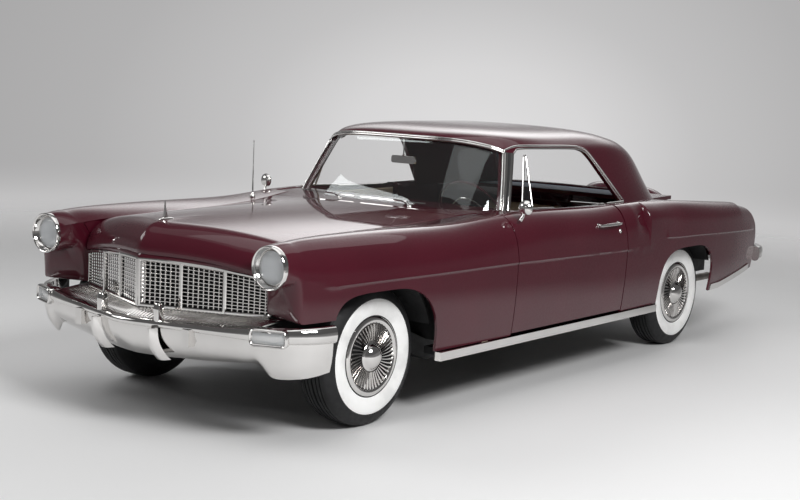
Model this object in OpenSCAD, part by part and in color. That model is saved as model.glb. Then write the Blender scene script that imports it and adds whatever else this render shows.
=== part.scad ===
// Two-door hardtop family car of the nineteen fifties, as separate pieces.
// Front faces -Y, the car's left is +X, +Z is up. The origin is on the ground
// below the middle of the car's length and width.

/* [Overall] */
// Distance between the front and rear axles
wheelbase = 3200; // [3180:5:3220]
// Distance from the origin forward to the front axle
front_axle = 1883; // [1875:1:1890]

/* [Wheels] */
// Outer radius of a tyre under load, which is the axle's height
tyre_r = 350; // [345:1:352]
// Width of a tyre
tyre_w = 205; // [195:1:210]
// Half of the distance between the front tyres' middles
track_front = 743; // [738:1:748]
// Half of the distance between the rear tyres' middles
track_rear = 762; // [757:1:765]
// Distance of each steering pivot from the middle plane
kingpin_x = 680; // [675:1:690]
// Outer radius of a wheel cover
cover_r = 198; // [190:1:202]

/* [Body] */
// Thickness of the fenders and quarter panels
skin_t = 20; // [16:1:24]
// Thickness of the hood and the deck lid
lid_t = 22; // [18:1:26]
// Gap along every shut line
gap = 6; // [5:0.5:8]
// Height of the rocker's foot
sill_z = 340; // [335:1:345]
// Place of the doors' front edges
door_front = -825; // [-830:1:-820]
// Place of the doors' rear edges
door_rear = 380; // [370:1:390]
// Inner face of the doors
door_inner_x = 805; // [800:1:810]
// Thickness of the roof and its pillars
roof_t = 32; // [26:1:38]

/* [Front end] */
// Distance of each headlamp's centre from the middle plane
lamp_x = 780; // [775:1:785]
// Height of the headlamps
lamp_z = 839; // [834:1:844]
// Outer radius of a headlamp bezel
bezel_r = 103; // [100:1:104]
// Angle by which each half of the grille sweeps back
grille_sweep = 19; // [17:0.5:20]

/* [Hidden] */
$fn = 96;

front_y = -front_axle;
rear_y = wheelbase - front_axle;
paint = [0.20, 0.03, 0.06];
chrome = [0.82, 0.83, 0.85];
dark = [0.12, 0.12, 0.13];
cream = [0.80, 0.74, 0.62];

// Columns: y, waist x, crease z, foot x, crest x, crest z, inner edge x, inner edge z
SIDE = [[-2500, 902, 785, 868, 781, 950, 640, 896],
        [-2400, 918, 768, 882, 783, 958, 628, 908],
        [-2150, 940, 752, 905, 786, 966, 612, 922],
        [-1880, 955, 747, 925, 791, 968, 606, 932],
        [-1500, 968, 744, 940, 800, 966, 610, 942],
        [-1200, 976, 744, 948, 812, 969, 632, 955],
        [-830, 982, 743, 955, 835, 990, 700, 984],
        [-300, 984, 733, 958, 850, 996, 805, 990],
        [385, 984, 722, 958, 852, 985, 805, 984],
        [520, 985, 752, 957, 866, 987, 792, 985],
        [850, 986, 762, 954, 876, 986, 770, 984],
        [1270, 984, 754, 950, 874, 969, 716, 958],
        [1800, 968, 738, 926, 850, 936, 668, 896],
        [2180, 936, 722, 894, 830, 908, 650, 842],
        [2440, 900, 704, 860, 812, 876, 640, 780]];

// Columns: height, half width, front y, rear y of the greenhouse
GLASSHOUSE = [[965, 812, -884, 1452],
              [1094, 772, -815, 1330],
              [1238, 728, -720, 1208],
              [1316, 700, -665, 1072],
              [1350, 670, -648, 985],
              [1375, 636, -630, 870],
              [1395, 590, -590, 760],
              [1412, 520, -520, 640],
              [1425, 420, -420, 510],
              [1434, 290, -280, 390],
              [1440, 110, -70, 270]];

// Row of a table below a value of its first column, and the share of the way to the next row
function row_of(t, v, i = 0) = (i >= len(t) - 2 || v < t[i + 1][0]) ? i : row_of(t, v, i + 1);
function share(t, v, i) = (v - t[i][0]) / (t[i + 1][0] - t[i][0]);
// Slope of a column at a row, for a smooth cubic through the rows
function slope(t, c, i) =
    let (a = max(i - 1, 0), b = min(i + 1, len(t) - 1))
    (t[b][c] - t[a][c]) / (t[b][0] - t[a][0]);
// Smooth value of column c of table t where the first column is v
function at(t, c, v) =
    let (i = row_of(t, v), s = share(t, v, i), d = t[i + 1][0] - t[i][0])
    (2 * s ^ 3 - 3 * s ^ 2 + 1) * t[i][c] + (s ^ 3 - 2 * s ^ 2 + s) * d * slope(t, c, i)
    + (3 * s ^ 2 - 2 * s ^ 3) * t[i + 1][c] + (s ^ 3 - s ^ 2) * d * slope(t, c, i + 1);
function mix(a, b, s) = a + (b - a) * s;
function clamp(v, low, high) = max(low, min(high, v));

// Wheel arches: centre y, half lengths forward and back, their powers, and the top
front_arch = [-1895, 395, 390, 5, 2.6, 696];
rear_arch = [1265, 415, 378, 3.5, 3.2, 678];
function arch_z(a, y) =
    let (d = abs(y - a[0]) / (y < a[0] ? a[1] : a[2]), n = y < a[0] ? a[3] : a[4])
    d >= 1 ? sill_z : sill_z + (a[5] - sill_z) * (1 - d ^ n) ^ (1 / n);

// Height of a side panel's lower edge
nose_foot = 610;
nose_end = -2272;
tail_foot = 330;
function foot_z(y) =
    y < nose_end ? nose_foot
    : max(arch_z(front_arch, y), arch_z(rear_arch, y), y > 1700 ? tail_foot + (y - 1700) * 0.13 : 0);

// Outer x of a body side at a height up to the crease, for the left side
function side_x(y, z) =
    let (k = at(SIDE, 2, y), u = clamp((z - sill_z) / (k - sill_z), -0.2, 1))
    mix(at(SIDE, 3, y), at(SIDE, 1, y), 1 - (1 - u) ^ 2);

// Cross-section of the left body side from its inner edge over the crest and down to its foot
top_steps = 3;
crest_steps = 6;
side_steps = 5;
function side_profile(y, low) =
    let (w = at(SIDE, 1, y), k = at(SIDE, 2, y), cx = at(SIDE, 4, y), cz = at(SIDE, 5, y),
         ix = at(SIDE, 6, y), iz = at(SIDE, 7, y))
    concat([for (i = [0:top_steps - 1]) let (v = 1 - i / top_steps)
                [mix(cx, ix, v), y, mix(cz, iz, v ^ 1.6)]],
           [for (i = [0:crest_steps]) let (a = 90 - 90 * i / crest_steps)
                [mix(cx, w, cos(a)), y, mix(k, cz, sin(a))]],
           [for (i = [1:side_steps]) let (z = mix(k, low, i / side_steps)) [side_x(y, z), y, z]]);

// Unit normal of a grid at a point, pointing out where rows run back and columns run outward
function grid_normal(g, i, j) =
    let (m = len(g) - 1, n = len(g[0]) - 1,
         u = g[min(i + 1, m)][j] - g[max(i - 1, 0)][j],
         v = g[i][min(j + 1, n)] - g[i][max(j - 1, 0)], c = cross(v, u))
    c / norm(c);
function grid_inset(g, t) =
    [for (i = [0:len(g) - 1]) [for (j = [0:len(g[0]) - 1]) g[i][j] - t * grid_normal(g, i, j)]];

// Solid between an outer and an inner grid of the same size, whose sides are closed
module slab(outer, inner) {
    m = len(outer);
    n = len(outer[0]);
    function o(i, j) = i * n + j;
    function p(i, j) = m * n + i * n + j;
    polyhedron(
        points = concat([for (r = outer) each r], [for (r = inner) each r]),
        faces = concat(
            [for (i = [0:m - 2], j = [0:n - 2]) [o(i, j), o(i + 1, j + 1), o(i, j + 1)]],
            [for (i = [0:m - 2], j = [0:n - 2]) [o(i, j), o(i + 1, j), o(i + 1, j + 1)]],
            [for (i = [0:m - 2], j = [0:n - 2]) [p(i, j), p(i, j + 1), p(i + 1, j + 1)]],
            [for (i = [0:m - 2], j = [0:n - 2]) [p(i, j), p(i + 1, j + 1), p(i + 1, j)]],
            [for (i = [0:m - 2]) [o(i, 0), p(i + 1, 0), o(i + 1, 0)]],
            [for (i = [0:m - 2]) [o(i, 0), p(i, 0), p(i + 1, 0)]],
            [for (i = [0:m - 2]) [o(i, n - 1), o(i + 1, n - 1), p(i + 1, n - 1)]],
            [for (i = [0:m - 2]) [o(i, n - 1), p(i + 1, n - 1), p(i, n - 1)]],
            [for (j = [0:n - 2]) [o(0, j), o(0, j + 1), p(0, j + 1)]],
            [for (j = [0:n - 2]) [o(0, j), p(0, j + 1), p(0, j)]],
            [for (j = [0:n - 2]) [o(m - 1, j), p(m - 1, j + 1), o(m - 1, j + 1)]],
            [for (j = [0:n - 2]) [o(m - 1, j), p(m - 1, j), p(m - 1, j + 1)]]));
}

// Solid through rings that run clockwise as seen along their order, with flat ends
module loft(rings) {
    m = len(rings);
    n = len(rings[0]);
    function o(i, j) = i * n + j % n;
    polyhedron(
        points = [for (r = rings) each r],
        faces = concat(
            [for (i = [0:m - 2], j = [0:n - 1]) [o(i, j), o(i + 1, j + 1), o(i, j + 1)]],
            [for (i = [0:m - 2], j = [0:n - 1]) [o(i, j), o(i + 1, j), o(i + 1, j + 1)]],
            [[for (j = [0:n - 1]) o(0, j)]],
            [[for (j = [n - 1:-1:0]) o(m - 1, j)]]));
}

// Corners of a closed outline, each rounded to a radius with an arc of a few steps
arc_steps = 4;
function corner(a, b, c, r) =
    let (u = (a - b) / norm(a - b), v = (c - b) / norm(c - b), half = acos(clamp(u * v, -1, 1)) / 2,
         d = min(r / tan(half), norm(a - b) * 0.49, norm(c - b) * 0.49), m = (u + v) / norm(u + v),
         rr = d * tan(half), o = b + m * rr / sin(half),
         s = b + u * d - o, e = b + v * d - o, sweep = 180 - 2 * half)
    [for (k = [0:arc_steps]) let (f = k / arc_steps)
        o + (sin((1 - f) * sweep) * s + sin(f * sweep) * e) / sin(sweep)];
function rounded(p, r) =
    [for (i = [0:len(p) - 1]) each corner(p[(i + len(p) - 1) % len(p)], p[i], p[(i + 1) % len(p)], r)];

// Box between two corners
module block(a, b) { translate(a) cube(b - a); }
// A form and the same one mirrored across the middle plane
module both_sides() { children(); mirror([1, 0, 0]) children(); }
// Box across the middle, from its half width, front and rear y, and low and high z
module middle_box(r) { block([-r[0], r[1], r[3]], [r[0], r[2], r[4]]); }
// Box on each side, from its inner and outer x, front and rear y, and low and high z
module side_boxes(r) { both_sides() block([r[0], r[2], r[4]], [r[1], r[3], r[5]]); }
// Straight round bar between two points
module bar(a, b, r) {
    d = b - a;
    translate(a) rotate([0, acos(d[2] / norm(d)), atan2(d[1], d[0])]) cylinder(r = r, h = norm(d));
}

// Frame rails: their plan and side outlines, crossed
rail_w = 90;
rail_h = 110;
// Columns: y, centre x, centre z of a frame rail
RAIL = [[-2450, 390, 420], [-1450, 390, 420], [-1180, 600, 265], [900, 600, 265],
        [1180, 480, 430], [1250, 480, 470], [1650, 480, 470], [1950, 480, 420], [2440, 480, 420]];
rail_top = 320;
module frame() {
    color(dark) both_sides() intersection() {
        translate([0, 0, rail_h]) linear_extrude(5 * rail_h)
            polygon(concat([for (r = RAIL) [r[1] - rail_w / 2, r[0]]],
                           [for (i = [len(RAIL) - 1:-1:0]) [RAIL[i][1] + rail_w / 2, RAIL[i][0]]]));
        rotate([90, 0, 90]) linear_extrude(10 * rail_w)
            polygon(concat([for (r = RAIL) [r[0], r[2] - rail_h / 2]],
                           [for (i = [len(RAIL) - 1:-1:0]) [RAIL[i][0], RAIL[i][2] + rail_h / 2]]));
    }
}

// Cross members between the rails, the beam under the front rails and the spring seats on them
cross_top = 285;
front_inner = 345;
spring_seat = 500;
seat_half = 60;
beam_half = 90;
hitch_z = 420;
hitch_x = 150;
hitch_r = 8;
// Columns: half width, front y, rear y, low z, high z
CROSS = [[front_inner, -2430, -2340, 375, 455], [front_inner + rail_w, front_y - beam_half, front_y + beam_half, 290, 365],
         [555, -700, -620, 225, cross_top], [555, 150, 230, 225, cross_top], [435, 1640, 1710, 430, 510]];
TAIL_CROSS = [435, 2360, 2440, 375, 465];
SPRING_SEAT = [front_inner, front_inner + rail_w - 1, front_y - seat_half, front_y + seat_half, 475, spring_seat];
module cross_members() {
    color(dark) {
        for (r = CROSS) middle_box(r);
        side_boxes(SPRING_SEAT);
        difference() {
            middle_box(TAIL_CROSS);
            for (x = [-hitch_x, hitch_x]) translate([x, TAIL_CROSS[1] - rail_w, hitch_z])
                rotate([-90, 0, 0]) cylinder(r = hitch_r, h = 4 * rail_w);
        }
    }
}

// Floor with its tunnel and kick-up, the firewall, the rockers and the boot floor
firewall_y = -1180;
firewall_top = 925;
dash_top = 960;
tunnel_r = 120;
sheet = 14;
FLOOR = [[firewall_y, rail_top], [895, rail_top], [1170, 490], [1240, 540], [2400, 540]];
module tunnel(r) { translate([0, 1260, rail_top]) rotate([90, 0, 0]) cylinder(r = r, h = 2500); }
module floor_pan() {
    color(dark) {
        difference() {
            union() {
                translate([-574, 0, 0]) rotate([90, 0, 90]) linear_extrude(1148)
                    polygon(concat(FLOOR, [for (i = [len(FLOOR) - 1:-1:0]) FLOOR[i] + [0, sheet]]));
                both_sides() block([574, firewall_y, rail_top], [795, 870, rail_top + sheet]);
                block([-700, firewall_y, rail_top], [700, firewall_y + sheet, firewall_top]);
                intersection() {
                    tunnel(tunnel_r + sheet);
                    block([-300, firewall_y, rail_top], [300, 1160, 600]);
                }
            }
            tunnel(tunnel_r);
        }
        both_sides() block([795, -1400, 296], [935, 800, rail_top + sheet]);
        both_sides() block([700, firewall_y, rail_top], [790, -860, firewall_top]);
    }
}

// Inner wheel housings: round shells over the wheels, closed on their inner sides
housing_r = 432;
module housing(inner_x, outer_x, y, floor_z) {
    intersection() {
        translate([inner_x, y, tyre_r]) rotate([0, 90, 0]) difference() {
            cylinder(r = housing_r, h = outer_x - inner_x);
            translate([0, 0, 14]) cylinder(r = housing_r - 14, h = outer_x);
        }
        block([0, y - 500, floor_z], [1000, y + 500, 1000]);
    }
}
module wheel_housings() {
    color(dark) both_sides() {
        difference() {
            housing(435, 880, front_y, 470);
            block([400, front_y - 60, 460], [460, front_y + 60, spring_seat + 30]);
        }
        housing(574, 900, rear_y, 540);
    }
}

// Engine and gearbox: one block each, with the pan below and the air cleaner on top
// Columns: half width, front y, rear y, low z, high z
ENGINE = [[300, -2110, -1400, 520, 820], [140, -2090, -1420, 375, 520]];
ENGINE_MOUNT = [290, 345, -1800, -1720, 440, 540];
// Columns: front y, height, radius, length of the bell housing and the gearbox
GEARBOX = [[-1420, 480, 190, 110], [-1310, 330, 85, 600]];
// Columns: y, low z, radius, height
AIR_CLEANER = [-1780, 820, 170, 70];
module engine() {
    color([0.25, 0.25, 0.27]) {
        for (r = ENGINE) middle_box(r);
        side_boxes(ENGINE_MOUNT);
        for (r = GEARBOX) translate([0, r[0], r[1]]) rotate([-90, 0, 0]) cylinder(r = r[2], h = r[3]);
        translate([0, AIR_CLEANER[0], AIR_CLEANER[1]]) cylinder(r = AIR_CLEANER[2], h = AIR_CLEANER[3]);
    }
}
RADIATOR = [330, -2330, -2260, 460, 850];
RADIATOR_WING = [330, 430, -2320, -2300, 475, 850];
module radiator() {
    color(dark) {
        middle_box(RADIATOR);
        side_boxes(RADIATOR_WING);
    }
}

// Front suspension arms, with springs between them
arm_low = 300;
arm_t = 30;
arm_r = 22;
arm_root = [457, 100];
arm_reach = 600;
UPPER_ARM = [400, 620, front_y - 50, front_y + 50, spring_seat, spring_seat + arm_r];
coil_x = 500;
coil_r = 40;
module front_suspension() {
    color(dark) both_sides() {
        hull() {
            for (side = [-1, 1]) translate([arm_root[0], front_y + side * arm_root[1], arm_low])
                cylinder(r = arm_r, h = arm_t, $fn = 32);
            translate([arm_reach, front_y, arm_low]) cylinder(r = arm_r, h = arm_t, $fn = 32);
        }
        block([UPPER_ARM[0], UPPER_ARM[2], UPPER_ARM[4]], [UPPER_ARM[1], UPPER_ARM[3], UPPER_ARM[5]]);
        translate([coil_x, front_y, arm_low + arm_t]) cylinder(r = coil_r, h = spring_seat - arm_low - arm_t);
    }
}

// Rear axle with its differential, the brake drums, the propshaft and the leaf springs
spring_low = 284;
spring_leaf = 30;
drum_r = 150;
propshaft_r = 34;
propshaft_front = -709;
// Columns: left end x, radius, length of a round piece across the axle
AXLE = [[-776, 42, 1552], [-110, 130, 220], [680, drum_r, 60], [-740, drum_r, 60]];
// Columns: inner x, outer x, front y, rear y, low z, high z of the springs, their seats and hangers
SPRING = [[485, 525, rear_y - 240, rear_y + 600, spring_low, spring_low + spring_leaf],
          [480, 530, rear_y - 45, rear_y + 45, spring_low, spring_low + 50],
          [485, 525, rear_y + 560, rear_y + 594, spring_low, spring_low + 87]];
PINION = [230, 70, 200];
module rear_axle() {
    color(dark) {
        for (r = AXLE) translate([r[0], rear_y, tyre_r]) rotate([0, 90, 0]) cylinder(r = r[1], h = r[2]);
        translate([0, rear_y - PINION[0], tyre_r]) rotate([-90, 0, 0]) cylinder(r = PINION[1], h = PINION[2]);
        bar([0, propshaft_front, 331], [0, rear_y - PINION[0] - 1, tyre_r - 2], propshaft_r);
        for (r = SPRING) side_boxes(r);
    }
}

// Exhaust: two pipes with silencers, which pass under the axle to the tail
pipe_r = 26;
pipe_bore = 22;
pipe_z = 197;
tail_x = 470;
tail_z = 300;
tail_end = 2620;
pipe_joint = 40;
joint_in = 28;
silencer_r = 58;
silencer_y = 260;
silencer_len = 440;
PIPE = [[250, -1300, pipe_z], [250, 750, pipe_z], [tail_x, 1000, 225], [tail_x, 1690, 225],
        [tail_x, 2300, tail_z], [tail_x, tail_end, tail_z]];
module exhaust() {
    color([0.4, 0.4, 0.4]) both_sides() difference() {
        union() {
            for (i = [0:len(PIPE) - 2]) {
                d = (PIPE[i + 1] - PIPE[i]) / norm(PIPE[i + 1] - PIPE[i]);
                a = PIPE[i] + (i == 0 ? 0 : joint_in) * d;
                b = PIPE[i + 1] - (i == len(PIPE) - 2 ? 0 : joint_in) * d;
                bar(a, b, pipe_r);
            }
            for (i = [1:len(PIPE) - 2]) translate(PIPE[i]) sphere(r = pipe_joint);
            translate([PIPE[0][0], silencer_y, pipe_z]) rotate([-90, 0, 0]) cylinder(r = silencer_r, h = silencer_len);
        }
        bar([tail_x, tail_end - 80, tail_z], [tail_x, tail_end + 5, tail_z], pipe_bore);
    }
}
FUEL_TANK = [400, 1740, 2330, 360, 540];
module fuel_tank() { color(dark) middle_box(FUEL_TANK); }

// Left front fender: a skin with the wheel arch in its foot, and a closed nose for the lamp
FENDER_Y = [-2500, -2440, -2380, -2310, -2273, -2268, -2235, -2180, -2080, -1960, -1840, -1740, -1660,
            -1600, -1550, -1520, -1508, -1503, -1380, -1220, -1020, door_front - gap];
nose_inner = 662;
nose_face = -2566;
lamp_hole_r = 98;
function nose_ring(y, s) =
    let (p = side_profile(-2470, nose_foot), n = len(p),
         ring = concat([[nose_inner, -2470, nose_foot], [nose_inner, -2470, 850]],
                       [for (i = [1:n - 1]) p[i]]))
    [for (q = ring) [mix(lamp_x, q[0], s), y, mix(lamp_z, q[2], s)]];
module front_fender() {
    outer = [for (y = FENDER_Y) side_profile(y, foot_z(y))];
    difference() {
        union() {
            slab(outer, grid_inset(outer, skin_t));
            loft([nose_ring(nose_face, 0.9), nose_ring(nose_face + 8, 0.945),
                  nose_ring(nose_face + 26, 0.975), nose_ring(-2500, 0.985), nose_ring(-2445, 0.965)]);
        }
        translate([lamp_x, -2470, lamp_z]) rotate([90, 0, 0]) linear_extrude(230)
            polygon([for (i = [0:47]) lamp_hole_r * [cos(7.5 * i), sin(7.5 * i)]]);
    }
}
module front_fender_left() { color(paint) front_fender(); }
module front_fender_right() { color(paint) mirror([1, 0, 0]) front_fender(); }

// Left rear quarter, thick beside the cabin and a skin over the wheel and the boot
QUARTER_Y = [door_rear + gap, 470, 560, 700, 846, 856, 872, 905, 960, 1050, 1180, 1300, 1430,
             1530, 1590, 1628, 1641, 1650, 1800, 2000, 2200, 2330, 2440];
wall_x = 790;
tail_inner = 646;
// Closed ring of a section, with an inner wall
function walled_ring(y, low, inner, s) =
    let (p = side_profile(y, low), n = len(p), m = [(inner + p[n - 1][0]) / 2, (low + p[3][2]) / 2],
         ring = concat([[inner, y, low], [inner, y, p[0][2] - 8]], [for (i = [1:n - 1]) p[i]]))
    [for (q = ring) [mix(m[0], q[0], s), y, mix(m[1], q[2], s)]];
module rear_quarter() {
    outer = [for (y = QUARTER_Y) side_profile(y, foot_z(y))];
    slab(outer, grid_inset(outer, skin_t));
    loft([for (y = [door_rear + gap, 470, 560, 700, 840])
          [for (q = walled_ring(y, sill_z, wall_x, 1)) q - [q[0] > wall_x ? 6 : 0, 0, q[2] > 900 ? 6 : 0]]]);
    loft([for (k = [[2390, 0.985], [2436, 1], [2448, 0.985]]) walled_ring(k[0], foot_z(2440) + 4, tail_inner, k[1])]);
}
module rear_quarter_left() { color(paint) rear_quarter(); }
module rear_quarter_right() { color(paint) mirror([1, 0, 0]) rear_quarter(); }

// Plan outline of the greenhouse at one height, drawn in by an inset
half_steps = 12;
front_power = 4.5;
rear_power = 4;
glass_mid = 200;
function outline(r, inset, z) =
    [for (i = [0:4 * half_steps - 1])
        let (a = 90 * i / half_steps, c = cos(a), s = sin(a), n = s < 0 ? front_power : rear_power,
             reach = (s < 0 ? glass_mid - r[2] : r[3] - glass_mid) - inset)
        [sign(c) * abs(c) ^ (2 / n) * (r[1] - inset), glass_mid + sign(s) * abs(s) ^ (2 / n) * reach, z]];
module greenhouse(inset) {
    rings = [for (r = GLASSHOUSE) if (r[1] > inset + 60) outline(r, inset, r[0] - (r[0] > 1330 ? inset : inset * 0.3))];
    loft(rings);
}
module greenhouse_shell(inset, t) {
    difference() {
        greenhouse(inset);
        greenhouse(inset + t);
    }
}

// Side view of the side windows, and of the windshield's opening
SIDE_WINDOW = [[-590, 900], [-590, 990], [-440, 1300], [-405, 1326], [180, 1316], [270, 1296],
               [330, 1250], [600, 975], [600, 900]];
cowl_top = 985;
WINDSHIELD = [[-1200, 900], [-650, 900], [-645, 990], [-500, 1306], [-530, 1322], [-600, 1348],
              [-660, 1368], [-1200, 1368]];
// Rear view of the rear window's opening
REAR_WINDOW = [[-560, 985], [560, 985], [560, 1040], [520, 1230], [470, 1290], [-470, 1290],
               [-520, 1230], [-560, 1040]];
shelf_top = 975;
pillar_foot = 988;
module through_sides(p) { translate([-1200, 0, 0]) rotate([90, 0, 90]) linear_extrude(2400) polygon(p); }
module through_rear(p) { translate([0, 2200, 0]) rotate([90, 0, 0]) linear_extrude(1500) polygon(p); }
module roof() {
    color(paint) difference() {
        greenhouse_shell(0, roof_t);
        through_sides(SIDE_WINDOW);
        through_sides(WINDSHIELD);
        through_rear(REAR_WINDOW);
        block([-1200, -1200, 900], [1200, 380, cowl_top]);
        block([-1200, 370, 900], [1200, 1090, pillar_foot]);
        block([-1200, 1080, 900], [1200, 1700, shelf_top]);
    }
}
module windshield() {
    color([0.7, 0.8, 0.8, 0.4]) intersection() {
        greenhouse_shell(10, 6);
        through_sides([for (p = WINDSHIELD) [p[0], max(p[1], cowl_top)]]);
    }
}
module rear_window() {
    color([0.7, 0.8, 0.8, 0.4]) intersection() {
        greenhouse_shell(12, 6);
        through_rear(REAR_WINDOW);
    }
}

// Cowl between the hood and the windshield, which runs on inside as the dash top
COWL_X = [0, 150, 300, 450, 560, 625];
door_room = 13;
module cowl() {
    color(paint) both_sides() translate([0, 0, dash_top]) linear_extrude(cowl_top - dash_top)
        polygon(concat([for (x = COWL_X) [x, hood_rear(x) + gap]],
                       [for (y = [-960, -900, door_front - gap + 4]) [at(SIDE, 6, y) - 2 * gap, y]],
                       [[door_inner_x - door_room, door_front - gap + 4], [door_inner_x - door_room, -580],
                        [690, -580], [690, -700], [0, -700]]));
}

// Dashboard with the steering column below it
column_lean = 60;
wheel_centre = [375, -415, 930];
column_dir = [0, -sin(column_lean), -cos(column_lean)];
module dashboard() {
    color(paint) block([-740, -860, 770], [740, -760, dash_top]);
    color(dark) bar(wheel_centre + 75 * column_dir, wheel_centre + 853 * column_dir, 24);
}

// Panel below the deck lid, and the shelf between the rear seat and the boot
REAR_PANEL = [640, 2422, 2440, 476, 765];
module rear_panel() { color(paint) middle_box(REAR_PANEL); }
SHELF_Y = [1080, 1180, 1280, 1400, 1498];
module rear_shelf() {
    color(paint) both_sides() translate([0, 0, shelf_top - 24]) linear_extrude(24)
        polygon(concat([[0, 1080]], [for (y = SHELF_Y) [at(SIDE, 6, y) - 3, y]], [[0, 1498]]));
}
// Mouldings: a straight one below each door, and one that follows the rear quarter's foot
SILL_MOULDING = [935, 972, -1495, 830, 292, 336];
TAIL_MOULDING_Y = [1655, 1800, 1950, 2100, 2200, 2300, 2370];
tail_moulding_h = 42;
tail_moulding_t = 9;
module sill_mouldings() {
    color(chrome) {
        side_boxes(SILL_MOULDING);
        both_sides() loft([for (y = TAIL_MOULDING_Y)
            let (z = foot_z(y) + 2, x = side_x(y, z) + 0.5, top = z + tail_moulding_h, x1 = side_x(y, top) + 0.5)
            [[x, y, z], [x1, y, top], [x1 + tail_moulding_t, y, top], [x + tail_moulding_t, y, z]]]);
    }
}

// Grille: two swept panels of crossed bars that meet in a point ahead of the hood, and the
// shelf that runs forward from its foot to the bumper
grille_low = 590;
grille_tip = -2632;
grille_len = 684;
grille_t = 30;
frame_w = 12;
panel_cols = 4;
panel_rows = 6;
bar_w = 7;
function grille_high(u) = 792 - 52 * (u / grille_len) ^ 2;
GRILLE_U = [0, 224, 448, grille_len];
HIGH_U = [0, 0.2, 0.4, 0.6, 0.8, 1];
module grille_cells() {
    for (k = [0:2], i = [0:panel_cols - 1], j = [0:panel_rows - 1]) {
        low_u = GRILLE_U[k] + frame_w * (k == 0 ? 1 : 0.5);
        cell_u = (GRILLE_U[k + 1] - frame_w * (k == 2 ? 1 : 0.5) - low_u) / panel_cols;
        cell_z = (grille_high(GRILLE_U[k + 1]) - grille_low) / panel_rows;
        translate([low_u + i * cell_u + bar_w / 2, grille_low + j * cell_z + bar_w / 2])
            square([cell_u - bar_w, cell_z - bar_w]);
    }
}
shelf_low = 564.5;
shelf_h = 14;
// Plan of the shelf's left half: behind the grille's foot, along the bumper's back, round the guard
SHELF = [[0, -2600], [0, -2716], [172, -2683], [172, -2670], [232, -2670], [440, -2621], [690, -2564],
         [755, -2528], [650, -2376]];
module grille() {
    color(chrome) both_sides() {
        translate([0, grille_tip, 0]) rotate([90, 0, grille_sweep]) translate([0, 0, -grille_t])
            linear_extrude(grille_t) difference() {
                polygon(concat([[0, grille_low - frame_w], [grille_len, grille_low - frame_w]],
                               [for (i = [5:-1:0]) let (u = HIGH_U[i] * grille_len) [u, grille_high(u) + frame_w]]));
                grille_cells();
            }
        translate([0, 0, shelf_low]) linear_extrude(shelf_h) polygon(SHELF);
    }
}

// Bumper section, as distance inward and height from its middle
BLADE = [[0, -30], [0, 30], [12, 48], [32, 54], [50, 50], [50, -50], [32, -54], [12, -48]];
// Columns: x, y of the front bumper's face
FRONT_PATH = [[0, -2768], [150, -2742], [450, -2672], [700, -2616], [820, -2572], [910, -2490],
              [958, -2400], [975, -2316]];
REAR_PATH = [[0, 2768], [400, 2758], [700, 2722], [850, 2660], [920, 2560], [938, 2460]];
function path_dir(p, i) = let (d = p[min(i + 1, len(p) - 1)] - p[max(i - 1, 0)]) d / norm(d);
// Half path mirrored to a whole one
function whole(p) = concat([for (i = [len(p) - 1:-1:1]) [-p[i][0], p[i][1]]], p);
module sweep(path, section, z, side) {
    w = whole(path);
    loft([for (i = [0:len(w) - 1])
          let (d = path_dir(w, i), inward = [-d[1], d[0]] * side)
          [for (q = section) [w[i][0] + inward[0] * q[0], w[i][1] + inward[1] * q[0], z - q[1] * side]]]);
}
front_bumper_z = 545;
rear_bumper_z = 528;
// Apron below the front bumper, with a lobe under each end
// Columns: x, y of its face, low z, how far the foot tucks in
APRON = [[0, -2752, 345, 95], [160, -2727, 346, 95], [400, -2672, 356, 90], [600, -2629, 372, 80],
         [715, -2600, 388, 62], [748, -2592, 338, 66], [800, -2572, 318, 74], [870, -2520, 318, 66],
         [925, -2440, 326, 46], [950, -2370, 340, 30], [957, -2325, 352, 20]];
apron_top = 494;
apron_t = 12;
// Share of the way down the apron, and share of its tuck there
APRON_FORM = [[0, 0], [0.3, 0.04], [0.6, 0.2], [0.82, 0.5], [1, 1]];
function apron_ring(i, w) =
    let (r = w[i], d = path_dir(w, i), dd = [d[0], d[1]] / norm([d[0], d[1]]), inward = [-dd[1], dd[0]])
    concat([for (f = APRON_FORM) let (q = r[3] * f[1])
                [r[0] + inward[0] * q, r[1] + inward[1] * q, mix(apron_top, r[2], f[0])]],
           [for (k = [len(APRON_FORM) - 1:-1:0]) let (f = APRON_FORM[k], q = r[3] * f[1] + apron_t)
                [r[0] + inward[0] * q, r[1] + inward[1] * q, mix(apron_top, r[2] + 3, f[0])]]);
module apron() {
    w = concat([for (i = [len(APRON) - 1:-1:1]) [-APRON[i][0], APRON[i][1], APRON[i][2], APRON[i][3]]], APRON);
    loft([for (i = [0:len(w) - 1]) apron_ring(i, w)]);
}

// Lamp pods that stand on the bumper's face, the upright guards and the brackets
pod_at = [790, -2590, 520];
pod_size = [190, 52, 86];
pod_round = 24;
pod_lamp = [150, 12, 50];
GUARD = [180, 225, -2762, -2680, 345, 615];
FRONT_BRACKET = [350, 400, -2680, -2450, 430, 520];
module pod_form(size, r) {
    rotate([90, 0, 0]) translate([0, 0, -size[1]]) linear_extrude(size[1])
        polygon(rounded([[-size[0], -size[2]] / 2, [size[0], -size[2]] / 2, [size[0], size[2]] / 2,
                         [-size[0], size[2]] / 2], r));
}
module front_bumper() {
    color(chrome) {
        sweep(FRONT_PATH, BLADE, front_bumper_z, 1);
        apron();
        side_boxes(GUARD);
        side_boxes(FRONT_BRACKET);
        both_sides() translate(pod_at) rotate([0, 0, 20]) difference() {
            pod_form(pod_size, pod_round);
            translate([0, -1, 0]) pod_form(pod_lamp, pod_round / 2);
        }
    }
}
REAR_BRACKET = [440, 480, 2440, 2725, 430, 500];
module rear_bumper() {
    color(chrome) {
        sweep(REAR_PATH, BLADE, rear_bumper_z, -1);
        side_boxes(REAR_BRACKET);
    }
}

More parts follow.
